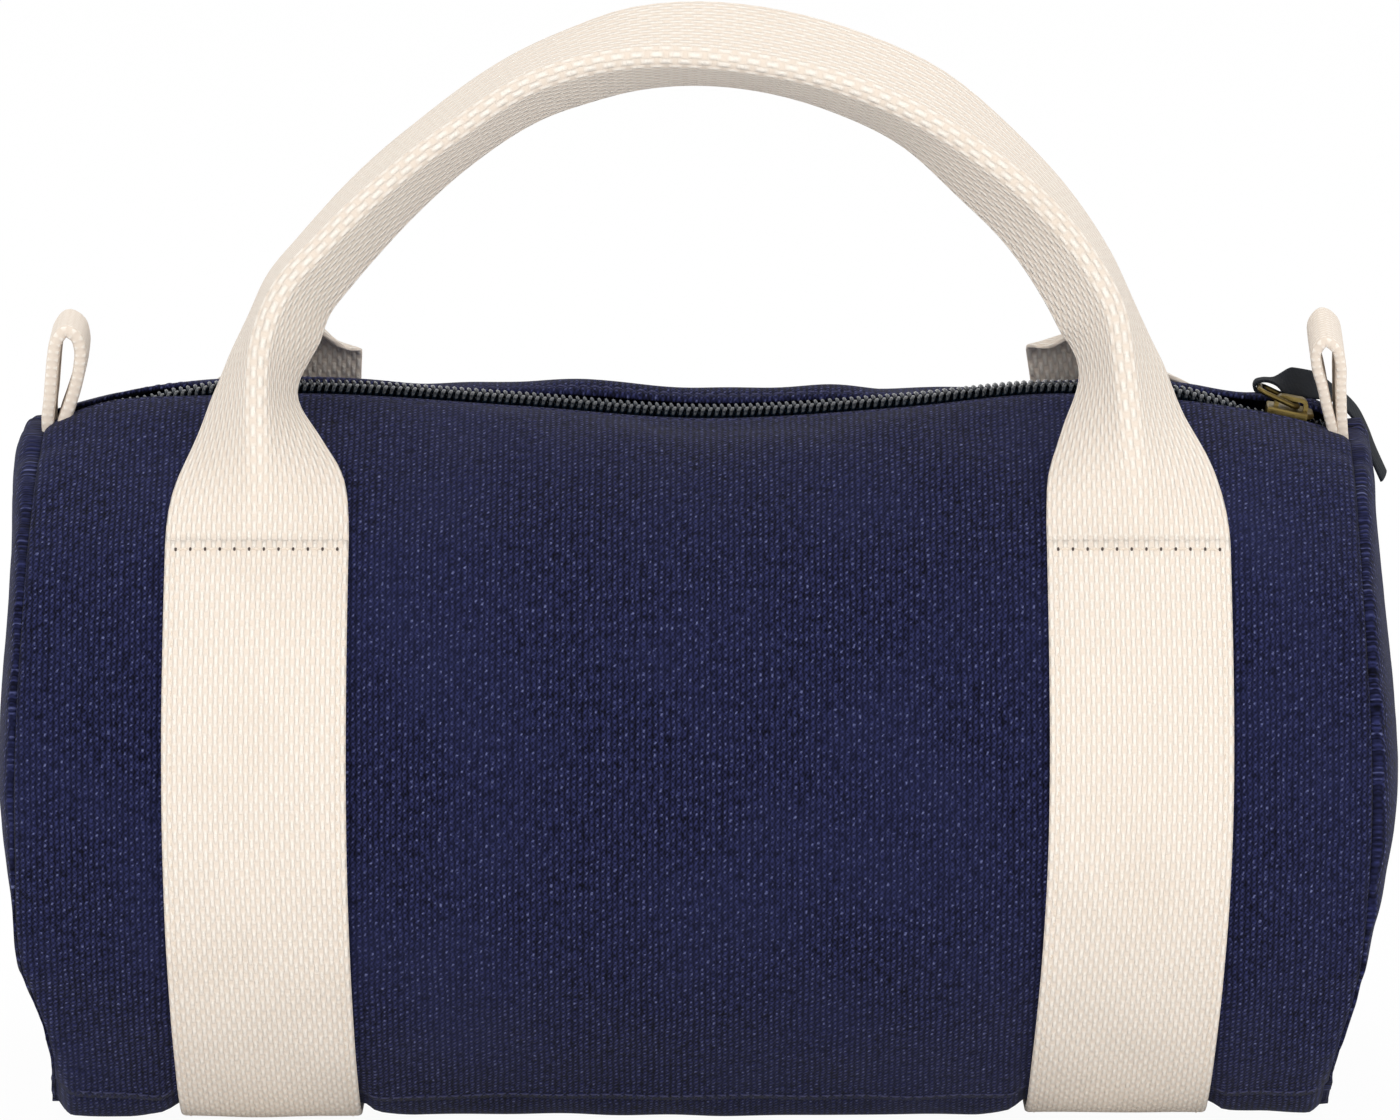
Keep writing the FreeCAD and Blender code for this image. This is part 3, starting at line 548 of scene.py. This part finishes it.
def endPanel(side, word):
    spread = np.linspace(-1, 1, dome["steps"])
    a, b = np.meshgrid(spread, spread, indexing="ij")
    wide = np.abs(a) > np.abs(b)
    ring = np.where(wide, np.abs(a), np.abs(b))
    safeA = np.where(np.abs(a) < 1e-9, 1e-9, a)
    safeB = np.where(np.abs(b) < 1e-9, 1e-9, b)
    acrossWay = math.pi / 4 * b / safeA + np.where(a < 0, math.pi, 0.0)
    upWay = math.pi / 2 - math.pi / 4 * a / safeB + np.where(b < 0, math.pi, 0.0)
    way = np.where(wide, acrossWay, upWay)      # squares turned into rings
    angle = np.degrees(way)
    lean = (1 - ring) * math.pi / 2             # 0 at the rim, a right angle at the middle
    share = np.cos(lean) ** (2 / dome["power"])
    rim = barrel(np.full_like(angle, side), angle)
    rimUp = np.stack([rim[..., 1], rim[..., 2] - bag["centre"]], -1)
    turnUp = (lean / dome["rimTurn"]) * np.exp(1 - lean / dome["rimTurn"]) * dome["rimLift"]
    size = np.linalg.norm(rimUp, axis=-1, keepdims=True)
    flat = rimUp * share[..., None] + rimUp / size * turnUp[..., None]
    reach = np.abs(rim[..., 0])
    sway = ripple(flat[..., 0], flat[..., 1], 80.0, 21 + side) * dome["sway"] * np.sin(lean)
    pucker = ripple(angle, 0 * way, 11.0, 31 + side) * dome["pucker"]
    sway = sway + pucker * np.exp(-lean / 0.35) * (1 - np.exp(-lean / 0.05))
    high = rimUp[..., 1] * share
    rimHeight = np.where(high > 0, rimUp[..., 1].max(), -rimUp[..., 1].min())
    level = np.minimum(np.abs(high) / rimHeight, share)         # where the middle line has this height
    out = (1 - share ** dome["power"]) / np.maximum(1 - level ** dome["power"], 1e-6)
    out = np.clip(out, 0, 1) ** (1 / dome["power"])
    edge = reach + dome["gap"] - dome["closing"] * np.exp(-lean / 0.03)         # the rim closes on the barrel
    x = edge + (through(high, *dome[word]) - reach) * out + sway
    grid = np.stack([side * x, flat[..., 0], flat[..., 1] + bag["centre"]], -1)
    normals = gridNormals(grid)
    normals = normals * np.sign(normals[dome["steps"] // 2, dome["steps"] // 2, 0] * side)
    piece = clothPiece(word + "End", grid, grid - normals * bag["canvas"], flat, canvasCloth, "canvas")
    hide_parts(word + "_end_panel")
    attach(piece, "bag")


binding = {"deep": 8.5, "wide": 2.8, "below": 4.2, "inset": 2.0, "girth": 88.0}


def seamBinding(side, word):
    angles = np.linspace(0, 360, 181)[:-1]
    rim = barrel(np.full_like(angles, side), angles)
    rimUp = np.stack([np.zeros_like(angles), rim[:, 1], rim[:, 2] - bag["centre"]], -1)
    inward = -unit(rimUp)
    sides, levels = tapeEdge(binding["deep"], binding["wide"])
    depth = binding["below"] + binding["deep"] / 2 + sides
    rings = rim[:, None, :] + inward[:, None, :] * depth[None, :, None]
    waver = 0.25 * ripple(angles * 1.7, 0 * angles, 20, 41)[:, None]
    rings[..., 0] += side * (levels[None, :] - binding["inset"] - waver)
    uv = np.stack(np.broadcast_arrays(sides[None, :], np.radians(angles)[:, None] * binding["girth"]), -1)
    piece = tapePiece(word + "Binding", rings, uv, bindingCloth, closed=True)
    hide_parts(word + "_seam_binding")
    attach(piece, "bag")


for side, word in ((-1, "left"), (1, "right")):
    endPanel(side, word)
    seamBinding(side, word)
print("ends and bindings sewn in")


# webbing straps round the barrel
def strapPoint(angle, side, across, lift):
    x = strapMiddle(angle, side) + across
    return barrel(x / endReach(angle, side), angle, lift)


def webbingStrap(side, word):
    angles = np.linspace(strap["stitchAngle"], 360 - strap["stitchAngle"], 210)
    sides, levels = tapeEdge(strap["width"], strap["thick"], groove=0.35)
    lift = strap["gap"] + strap["thick"] / 2 + levels
    rings = strapPoint(angles[:, None], side, sides[None, :], lift[None, :])
    uv = np.stack(np.broadcast_arrays(sides[None, :], np.radians(angles)[:, None] * strap["girth"]), -1)
    piece = tapePiece(word + "Strap", rings, uv, creamWebbing)
    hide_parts(word + "_strap")
    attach(piece, "bag")


for side, word in ((-1, "left"), (1, "right")):
    webbingStrap(side, word)
print("straps laid round the bag")


# carry handles: the same webbing, folded lengthwise with the ridge to the outside
handle = {
    "half": 120.0, "rise": 137.0, "hingeY": 70.763, "hingeZ": 171.369, "fold": 2.4, "stations": 190, "curl": 4.0,
    "frontLean": 18.5, "backLean": 20.0, "footEase": 7.0, "settle": 0.49, "settleOver": 15.0,
    # shares of the half width and the rise, then the turn of the outer and inner wing in degrees
    "front": [
        (-1.006, 0, 90, 90), (-1.006, 0.117, 65, 70), (-1.008, 0.21, 42, 42), (-1.008, 0.314, 25, 20),
        (-1.003, 0.387, 15, 27), (-0.985, 0.449, 10, 32), (-0.94, 0.522, 12, 28), (-0.868, 0.59, 14, 24),
        (-0.785, 0.663, 16, 21), (-0.687, 0.738, 18, 17), (-0.573, 0.813, 21, 13), (-0.37, 0.923, 25, 12),
        (-0.263, 0.952, 30, 11), (-0.164, 0.966, 37, 8), (0, 0.967, 43, 4), (0.1125, 0.956, 44, 3),
        (0.318, 0.917, 41, 6), (0.482, 0.859, 38, 10), (0.644, 0.773, 28, 21), (0.776, 0.679, 20, 27),
        (0.884, 0.565, 14, 32), (0.948, 0.456, 12, 32), (0.962, 0.372, 22, 23), (0.978, 0.248, 36, 44),
        (0.992, 0.131, 60, 74), (0.996, 0, 90, 90)],
    "back": [
        (-1.006, 0, 90, 90), (-1.005, 0.1, 78, 90), (-1.001, 0.18, 50, 84), (-0.995, 0.25, 26, 78),
        (-0.985, 0.31, 16, 46), (-0.965, 0.39, 12, 18), (-0.9, 0.488, 12, 14), (-0.785, 0.615, 13, 12),
        (-0.573, 0.788, 15, 11), (-0.37, 0.91, 18, 10), (-0.164, 0.978, 24, 10), (0.0, 0.993, 26, 10),
        (0.16, 0.978, 26, 10), (0.37, 0.918, 24, 10), (0.573, 0.793, 18, 10), (0.776, 0.608, 14, 12),
        (0.889, 0.47, 12, 14), (0.945, 0.37, 12, 20), (0.96, 0.31, 16, 44), (0.968, 0.25, 26, 82),
        (0.98, 0.18, 50, 86), (0.992, 0.1, 78, 90), (0.996, 0, 90, 90)],
}


def foldedSection(outerAngle, innerAngle):      # middle line of the folded webbing, and its normals
    sides, levels = tapeEdge(strap["width"], strap["thick"], groove=0.25)
    fine = np.linspace(0, strap["width"] / 2, 120)
    half = math.radians((outerAngle + innerAngle) / 2)
    tilt = math.radians((outerAngle - innerAngle) / 2)
    ease = smooth(fine / handle["fold"])
    bend = half * ease + math.pi / 2 * (1 - ease)
    softness = 1 - half / (math.pi / 2)
    bend = bend + math.radians(handle["curl"]) * softness * (np.sin(fine / 25.0 * math.pi) - 0.5) * ease
    step = fine[1] - fine[0]
    u = np.concatenate([[0], np.cumsum((np.sin(bend[1:]) + np.sin(bend[:-1])) / 2 * step)])
    v = np.concatenate([[0], np.cumsum(-(np.cos(bend[1:]) + np.cos(bend[:-1])) / 2 * step)])
    far = np.abs(sides)
    sign = np.sign(sides)
    du = np.interp(far, fine, u) * sign
    dv = np.interp(far, fine, v)
    turn = np.interp(far, fine, bend)
    nu = np.cos(turn) * sign
    nv = np.sin(turn)
    du = du + nu * levels
    dv = dv + nv * levels
    cos, sin = math.cos(tilt), math.sin(tilt)
    return du * cos - dv * sin, dv * cos + du * sin


def carryHandle(side, word):
    table = np.array(handle[word], float)
    rough = runLength(table[:, :2] * [handle["half"], handle["rise"]])
    fine = np.linspace(0, rough[-1], handle["stations"])
    x, p, outerWing, innerWing = (through(fine, rough, column) for column in table.T)
    x = x * handle["half"]
    p = np.maximum(p * handle["rise"], 0.0)
    along = unit(np.stack([np.gradient(x), np.gradient(p)], -1))
    awayX, awayP = -along[:, 1], along[:, 0]
    lean = math.radians(handle[word + "Lean"])
    # leaves the bag along the canvas, then stands up
    settle = -handle["settle"] * p * np.exp(-p / handle["settleOver"])
    rings = []
    for k in range(len(fine)):
        n, b = foldedSection(outerWing[k], innerWing[k])
        b = b - strap["thick"] / 2 + settle[k]
        up = p[k] + awayP[k] * n
        rings.append(np.stack([
            x[k] + awayX[k] * n,
            side * (-handle["hingeY"] + up * math.sin(lean) - b * math.cos(lean)),
            handle["hingeZ"] + up * math.cos(lean) + b * math.sin(lean)], -1))
    rings = np.array(rings)
    angle = strap["stitchAngle"] if side > 0 else 360 - strap["stitchAngle"]
    sides, levels = tapeEdge(strap["width"], strap["thick"], groove=0.35)
    lift = strap["gap"] + strap["thick"] / 2 + levels
    for foot, strapSide, way in ((0, -1, -1), (-1, 1, 1)):      # each foot carries on from its strap
        sewn = strapPoint(np.full_like(sides, angle), strapSide, way * sides, lift)
        fromFoot = np.abs(fine - fine[foot])
        ease = np.exp(-fromFoot / handle["footEase"]) * smooth(2 - fromFoot / 20.0)
        rings = rings + (sewn - rings[foot])[None, :, :] * ease[:, None, None]
    begin = math.radians(angle) * strap["girth"] + belt["repeat"] / 2
    total = 2 * begin + belt["repeat"] * round((fine[-1] - 2 * begin) / belt["repeat"])
    uv = np.stack(np.broadcast_arrays(sides[None, :], begin - fine[:, None] * total / fine[-1]), -1)
    piece = tapePiece(word + "Handle", rings, uv, creamWebbing)
    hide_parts(word + "_handle")
    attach(piece, word + "_grip")


carryHandle(1, "front")
carryHandle(-1, "back")
print("handles folded")


# tape loops at the tops of the end seams, side view of each from foot to foot
loop = {
    "width": 25.0, "leftThick": 3.5, "rightThick": 3.0, "leftTip": 0.0, "rightTip": 0.16, "tipFrom": 188.0,
    "sewn": 0.186, "free": 0.212,               # heights in metres
    "left": [(-179.6, 184.5), (-180.2, 189), (-180.3, 192.4), (-179.7, 198), (-179.2, 204), (-178.6, 210),
             (-177.7, 214.4), (-175.2, 217.2), (-172.3, 215.6), (-171.1, 211.8), (-171.4, 207), (-172.7, 201),
             (-174.3, 196), (-175.9, 191.5), (-177.0, 187), (-177.2, 184.5)],
    "right": [(176.1, 184.8), (175.0, 189.3), (173.5, 195.3), (171.9, 202.8), (170.3, 209.4), (170.2, 213.2),
              (172.7, 216.1), (175.6, 214.2), (176.9, 209.8), (177.1, 202.3), (177.4, 193.3), (178.0, 184.8)],
}


def tapeLoop(word):
    path = np.array(loop[word], float)
    rough = runLength(path)
    fine = np.linspace(0, rough[-1], 90)
    flat = np.stack([through(fine, rough, path[:, 0]), through(fine, rough, path[:, 1])], -1)
    way = unit(np.gradient(flat, axis=0))
    out = np.stack([-way[:, 1], way[:, 0]], -1)
    sides, levels = tapeEdge(loop["width"], loop[word + "Thick"])
    flatRings = flat[:, None, :] + out[:, None, :] * levels[None, :, None]
    y = np.broadcast_to(sides[None, :], flatRings.shape[:2])
    high = flatRings[..., 1]
    tip = loop[word + "Tip"] * y * smooth((high - loop["tipFrom"]) / 26.0)      # the far edge stands higher
    rings = np.stack([flatRings[..., 0], y, high + tip], -1)
    uv = np.stack(np.broadcast_arrays(sides[None, :], fine[:, None]), -1)
    piece = tapePiece(word + "Loop", rings, uv, creamTape)
    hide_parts(word + "_loop")
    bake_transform(piece)


for side, word in ((-1, "left"), (1, "right")):
    tapeLoop(word)
print("tape loops in place")


# the zip: woven tapes under the lips and two nylon coils
zipFacts = {
    "end": 174.0, "bend": 135.0, "level": 97.7, "tilt": 10.5,
    "tapeInner": 2.4, "tapeOuter": 11.0, "tapeThick": 0.6, "tapePast": 3.0,
    "pitch": 2.0, "wire": 0.62, "coilStart": -167.5,
    "coilMiddle": 2.4, "coilWide": 2.65, "coilHigh": 1.1, "coilLift": 1.75,
    "leftPinch": 0.25, "leftPinchAt": 146.0, "rightPinch": 0.35, "rightPinchAt": 144.0, "softEdge": 0.22,
}


def zipHeight(x):
    fall = np.maximum(np.abs(x) - zipFacts["bend"], 0) * math.tan(math.radians(zipFacts["tilt"]))
    return bag["centre"] + zipFacts["level"] - fall + zipShift(x)


def zipTape(side, word):
    x = np.linspace(zipFacts["coilStart"] - zipFacts["tapePast"], zipFacts["end"], 150)[:, None]
    y = np.linspace(zipFacts["tapeInner"], zipFacts["tapeOuter"], 9)[None, :]
    x, y = np.broadcast_arrays(x, y)
    top = np.stack([x, -side * y, zipHeight(x) - 0.05 - 0.012 * np.maximum(y - 5, 0) ** 2], -1)
    low = top - [0, 0, zipFacts["tapeThick"]]
    piece = clothPiece(word + "ZipTape", top, low, np.stack([y, x], -1), zipCloth, "zip_tape")
    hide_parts(word + "_zip_tape")
    followMouth(piece)


def zipCoil(side, word):
    perTurn = 12
    turns = (zipFacts["end"] - zipFacts["coilStart"]) / zipFacts["pitch"]
    t = np.arange(int(turns * perTurn) + 1) / perTurn * 2 * math.pi
    x = zipFacts["coilStart"] + t / (2 * math.pi) * zipFacts["pitch"]
    phase = t + (0 if side > 0 else math.pi)
    size = 1 - zipFacts["rightPinch"] * smooth((x - zipFacts["rightPinchAt"]) / 8.0)      # drawn together at the ends
    size = size - zipFacts["leftPinch"] * smooth((-x - zipFacts["leftPinchAt"]) / 8.0)
    y = -side * (zipFacts["coilMiddle"] + zipFacts["coilWide"] * np.cos(phase)) * size
    z = zipHeight(x) + (zipFacts["coilLift"] + zipFacts["coilHigh"] * np.sin(phase)) * size
    line = np.stack([x, y, z], -1)
    way = unit(np.gradient(line, axis=0))
    first = unit(np.cross(way, np.array([1.0, 0.0, 0.0])))
    second = np.cross(way, first)
    sides = 7
    turn = np.arange(sides) * 2 * math.pi / sides
    circle = np.cos(turn)[None, :, None] * first[:, None, :] + np.sin(turn)[None, :, None] * second[:, None, :]
    rings = line[:, None, :] + zipFacts["wire"] * size[:, None, None] * circle
    uv = np.stack(np.broadcast_arrays(turn[None, :], t[:, None]), -1)
    piece = tapePiece(word + "ZipCoil", rings, uv, nylonCoil)
    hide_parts(word + "_zip_chain")
    followMouth(piece)


for side, word in ((1, "front"), (-1, "back")):
    zipTape(side, word)
    zipCoil(side, word)
for node in ("slider_body", "slider_crown", "pull_ring"):
    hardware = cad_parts[node]
    hardware.data.materials.clear()
    hardware.data.materials.append(oldBrass)
    softened = hardware.modifiers.new("softEdges", "BEVEL")
    softened.width = zipFacts["softEdge"] * mm
    softened.segments = 2
    softened.limit_method = "ANGLE"
    softened.angle_limit = math.radians(40)
print("zip and slider dressed")


# folded ribbon through the ring, back past the loop and over the right end
ribbon = {
    "width": 12.0, "thick": 0.9, "tilt": 30.0, "lastTilt": 0.3, "bunched": 0.38, "cup": 0.4,
    "path": [(157.0, 198.1, 2.0), (155.6, 197.65, 2.0), (154.2, 197.9, 2.0), (153.7, 199.0, 2.0),
             (154.1, 200.1, 2.2), (155.6, 200.5, 2.8), (159.4, 199.9, 4.6), (164.5, 198.4, 9.2),
             (169.5, 196.2, 16.0), (173.3, 194.4, 20.0), (178.6, 191.2, 22.8), (182.6, 187.3, 24.0),
             (185.8, 181.6, 24.6), (187.9, 176.4, 25.0), (191.4, 168.6, 25.4)],
}


def pullRibbon():
    path = np.array(ribbon["path"], float)
    rough = runLength(path)
    fine = np.linspace(0, rough[-1], 120)
    line = np.stack([through(fine, rough, column) for column in path.T], -1)
    way = unit(np.gradient(line[:, :2], axis=0))
    out = np.stack([-way[:, 1], way[:, 0]], -1)
    sides, levels = tapeEdge(ribbon["width"], ribbon["thick"])
    share = fine / rough[-1]
    opening = ribbon["bunched"] + (1 - ribbon["bunched"]) * smooth((fine - 8.0) / 9.0)
    sides = sides[None, :] * opening[:, None]   # bunched where it passes the ring
    tilt = np.radians(ribbon["tilt"]) * smooth((fine - 9.0) / 8.0)              # the near edge sinks to the slider
    tilt = tilt * (1 - (1 - ribbon["lastTilt"]) * smooth((fine - 28.0) / 10.0))
    cup = ribbon["cup"] * np.sin(share * 5.0)[:, None] * (sides / (ribbon["width"] / 2)) ** 2
    high = (levels[None, :] + cup) * np.cos(tilt)[:, None] + sides * np.sin(tilt)[:, None]
    deep = sides * np.cos(tilt)[:, None] - levels[None, :] * np.sin(tilt)[:, None]
    flatRings = line[:, None, :2] + out[:, None, :] * high[..., None]
    rings = np.stack([flatRings[..., 0], line[:, None, 2] + deep, flatRings[..., 1]], -1)
    uv = np.stack(np.broadcast_arrays(sides, fine[:, None]), -1)
    piece = tapePiece("pullRibbon", rings, uv, ribbonCloth)
    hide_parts("pull_ribbon")
    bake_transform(piece)


pullRibbon()
print("ribbon threaded")


# stitching
stitch = {
    "canvasLong": 2.5, "canvasPitch": 3.2, "canvasThick": 0.55, "canvasHalf": 170.0, "canvasProud": 0.12,
    "lipTurn": 1.67, "baseTurn": 1.5,
    "webLong": 2.6, "webPitch": 3.4, "webThick": 0.6, "webGirth": 102.8, "webTurn": 2.5, "webSunk": 0.25,
    "edgeInset": 2.5, "crossPitch": 4.0, "crossHalf": 20.0, "crossTurn": 1.7, "crossProud": 0.22, "holeProud": 0.2,
}


def fromAxis(points):                           # away from the barrel's axis
    return (points - [0, 0, bag["centre"]]) * [0, 1, 1]


def upFrom(here, ahead, beside):                # straight up from the cloth
    ups = np.cross(ahead - here, beside - here)
    return ups * np.sign(np.sum(ups * fromAxis(here), -1))[:, None]


def canvasStitches(name, angle, skipStraps):
    x = np.arange(-stitch["canvasHalf"], stitch["canvasHalf"] + 0.01, stitch["canvasPitch"])
    if skipStraps:
        x = x[nearestStrap(x, angle) > strap["width"] / 2 + 1.0]
    share = x / endReach(angle, x)
    lift = stitch["canvasProud"]
    here = barrel(share, np.full_like(x, angle), lift)
    ahead = barrel((x + 0.5) / endReach(angle, x), np.full_like(x, angle), lift)
    below = barrel(share, np.full_like(x, angle + 0.3), lift)
    ups = upFrom(here, ahead, below)
    return threadPiece(name, here, ahead - here, ups,
                       stitch["canvasLong"], stitch["canvasThick"], navyThread)


for side, word in ((1, "front"), (-1, "back")):
    piece = canvasStitches(word + "ZipStitches", side * (bag["lipAngle"] + stitch["lipTurn"]), False)
    followMouth(piece)
    piece = canvasStitches(word + "BaseStitches", side * (bag["baseAngle"] - stitch["baseTurn"]), True)
    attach(piece, "bag")


def strapStitches(side, word):
    first = strap["stitchAngle"] + stitch["webTurn"]
    spread = np.arange(first, 360 - first, math.degrees(stitch["webPitch"] / stitch["webGirth"]))
    angles = np.concatenate([spread, spread])
    inset = strap["width"] / 2 - stitch["edgeInset"]
    across = np.concatenate([np.full_like(spread, -inset), np.full_like(spread, inset)])
    lift = strap["gap"] + strap["thick"] - stitch["webSunk"]
    here = strapPoint(angles, side, across, lift)
    ahead = strapPoint(angles + 0.4, side, across, lift)
    beside = strapPoint(angles, side, across + 0.5, lift)
    ups = upFrom(here, ahead, beside)
    piece = threadPiece(word + "StrapStitches", here, ahead - here, ups,
                        stitch["webLong"], stitch["webThick"], creamThread)
    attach(piece, "bag")
    spots, ways, holes = [], [], []
    firstTurn = strap["stitchAngle"] + stitch["crossTurn"]
    for turn in (firstTurn, 360 - firstTurn):
        row = np.arange(-stitch["crossHalf"], stitch["crossHalf"] + 0.01, stitch["crossPitch"])
        angles, proud = np.full_like(row, turn), lift + stitch["crossProud"]
        spots.append(strapPoint(angles, side, row, proud))
        ways.append(strapPoint(angles, side, row + 0.5, proud) - spots[-1])
        gaps = np.append(row - stitch["crossPitch"] / 2, row[-1] + stitch["crossPitch"] / 2)
        holes.append(strapPoint(np.full_like(gaps, turn), side, gaps, lift + stitch["holeProud"]))
    spots, ways, holes = (np.concatenate(part) for part in (spots, ways, holes))
    away = fromAxis(spots)
    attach(threadPiece(word + "HandleStitches", spots, ways, away, 3.2, 0.75, creamThread), "bag")
    # small dark dots on the webbing at the needle holes, painted shade standing in for the holes
    away = fromAxis(holes)
    down = np.cross(away, np.array([1.0, 0, 0]))
    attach(threadPiece(word + "NeedleHoleShade", holes, down, away, 1.3, 0.7, needleHoleShade), "bag")


for side, word in ((-1, "left"), (1, "right")):
    strapStitches(side, word)
print("stitching done")


# floor, light and camera
studio = {
    "target": (0.0, 0.0, 0.150), "elevation": 12.5, "distance": 3.6, "lens": 333.0, "sensor": 36.0,
    "world": 0.83, "floorShare": 0.96, "floorHalf": 30.0, "floorLow": -0.0005, "floorGrey": 0.95,
    "lamps": [("keyLamp", (-1.0, -1.6, 2.2), 1.3, 12.5),        # place, size and power
              ("fillLamp", (1.6, -1.5, 0.9), 1.2, 6.5),
              ("frontLamp", (-0.2, -2.4, 0.25), 1.5, 10.5),
              ("topLamp", (0.2, 0.9, 2.2), 1.4, 8.5)],
}


def whiteForCamera(tree):                       # camera, mirror and glass rays see plain white
    rays = tree.nodes.new("ShaderNodeLightPath")
    seen = calc(tree, "MAXIMUM", rays.outputs["Is Camera Ray"], rays.outputs["Is Glossy Ray"])
    return calc(tree, "MAXIMUM", seen, rays.outputs["Is Transmission Ray"])


floorMesh = bpy.data.meshes.new("studioFloor")
far, low = studio["floorHalf"], studio["floorLow"]
floorMesh.from_pydata([(-far, -far, low), (far, -far, low), (far, far, low), (-far, far, low)], [], [(0, 1, 2, 3)])
floorPiece = bpy.data.objects.new("studioFloor", floorMesh)
bpy.context.scene.collection.objects.link(floorPiece)
floorPaint = bpy.data.materials.new("floorPaint")
floorPaint.use_nodes = True
tree = floorPaint.node_tree
tree.nodes.clear()
matte = tree.nodes.new("ShaderNodeBsdfDiffuse")
matte.inputs["Color"].default_value = (studio["floorGrey"],) * 3 + (1,)
glow = tree.nodes.new("ShaderNodeEmission")
mixed = tree.nodes.new("ShaderNodeMixShader")
tree.links.new(calc(tree, "MULTIPLY", whiteForCamera(tree), studio["floorShare"]), mixed.inputs[0])
tree.links.new(matte.outputs[0], mixed.inputs[1])
tree.links.new(glow.outputs[0], mixed.inputs[2])
tree.links.new(mixed.outputs[0], tree.nodes.new("ShaderNodeOutputMaterial").inputs[0])
floorMesh.materials.append(floorPaint)

world = bpy.data.worlds.new("studio")
world.use_nodes = True
bpy.context.scene.world = world
tree = world.node_tree
sky = tree.nodes["Background"]
strength = calc(tree, "ADD", calc(tree, "MULTIPLY", whiteForCamera(tree), 1.0 - studio["world"]), studio["world"])
tree.links.new(strength, sky.inputs["Strength"])
sky.inputs["Color"].default_value = (1, 1, 1, 1)


def softLamp(name, spot, size, power):
    lamp = bpy.data.lights.new(name, "AREA")
    lamp.shape = "DISK"
    lamp.size = size
    lamp.energy = power
    thing = bpy.data.objects.new(name, lamp)
    bpy.context.scene.collection.objects.link(thing)
    look = np.array(studio["target"]) - np.array(spot)
    pitch = math.atan2(math.hypot(look[0], look[1]), -look[2])
    thing.location = spot
    thing.rotation_euler = (pitch, 0, math.atan2(look[0], -look[1]) + math.pi)


for lampFacts in studio["lamps"]:
    softLamp(*lampFacts)

camera = bpy.data.cameras.new("photoCamera")
camera.lens = studio["lens"]
camera.sensor_width = studio["sensor"]
camera.clip_end = 100.0
cameraPiece = bpy.data.objects.new("photoCamera", camera)
bpy.context.scene.collection.objects.link(cameraPiece)
tip = math.radians(studio["elevation"])
targetX, targetY, targetZ = studio["target"]
back, up = studio["distance"] * math.cos(tip), studio["distance"] * math.sin(tip)
cameraPiece.location = (targetX, targetY - back, targetZ + up)
cameraPiece.rotation_euler = (math.pi / 2 - tip, 0, 0)
bpy.context.scene.camera = cameraPiece
bpy.context.scene.view_settings.view_transform = "Standard"
print("studio set")
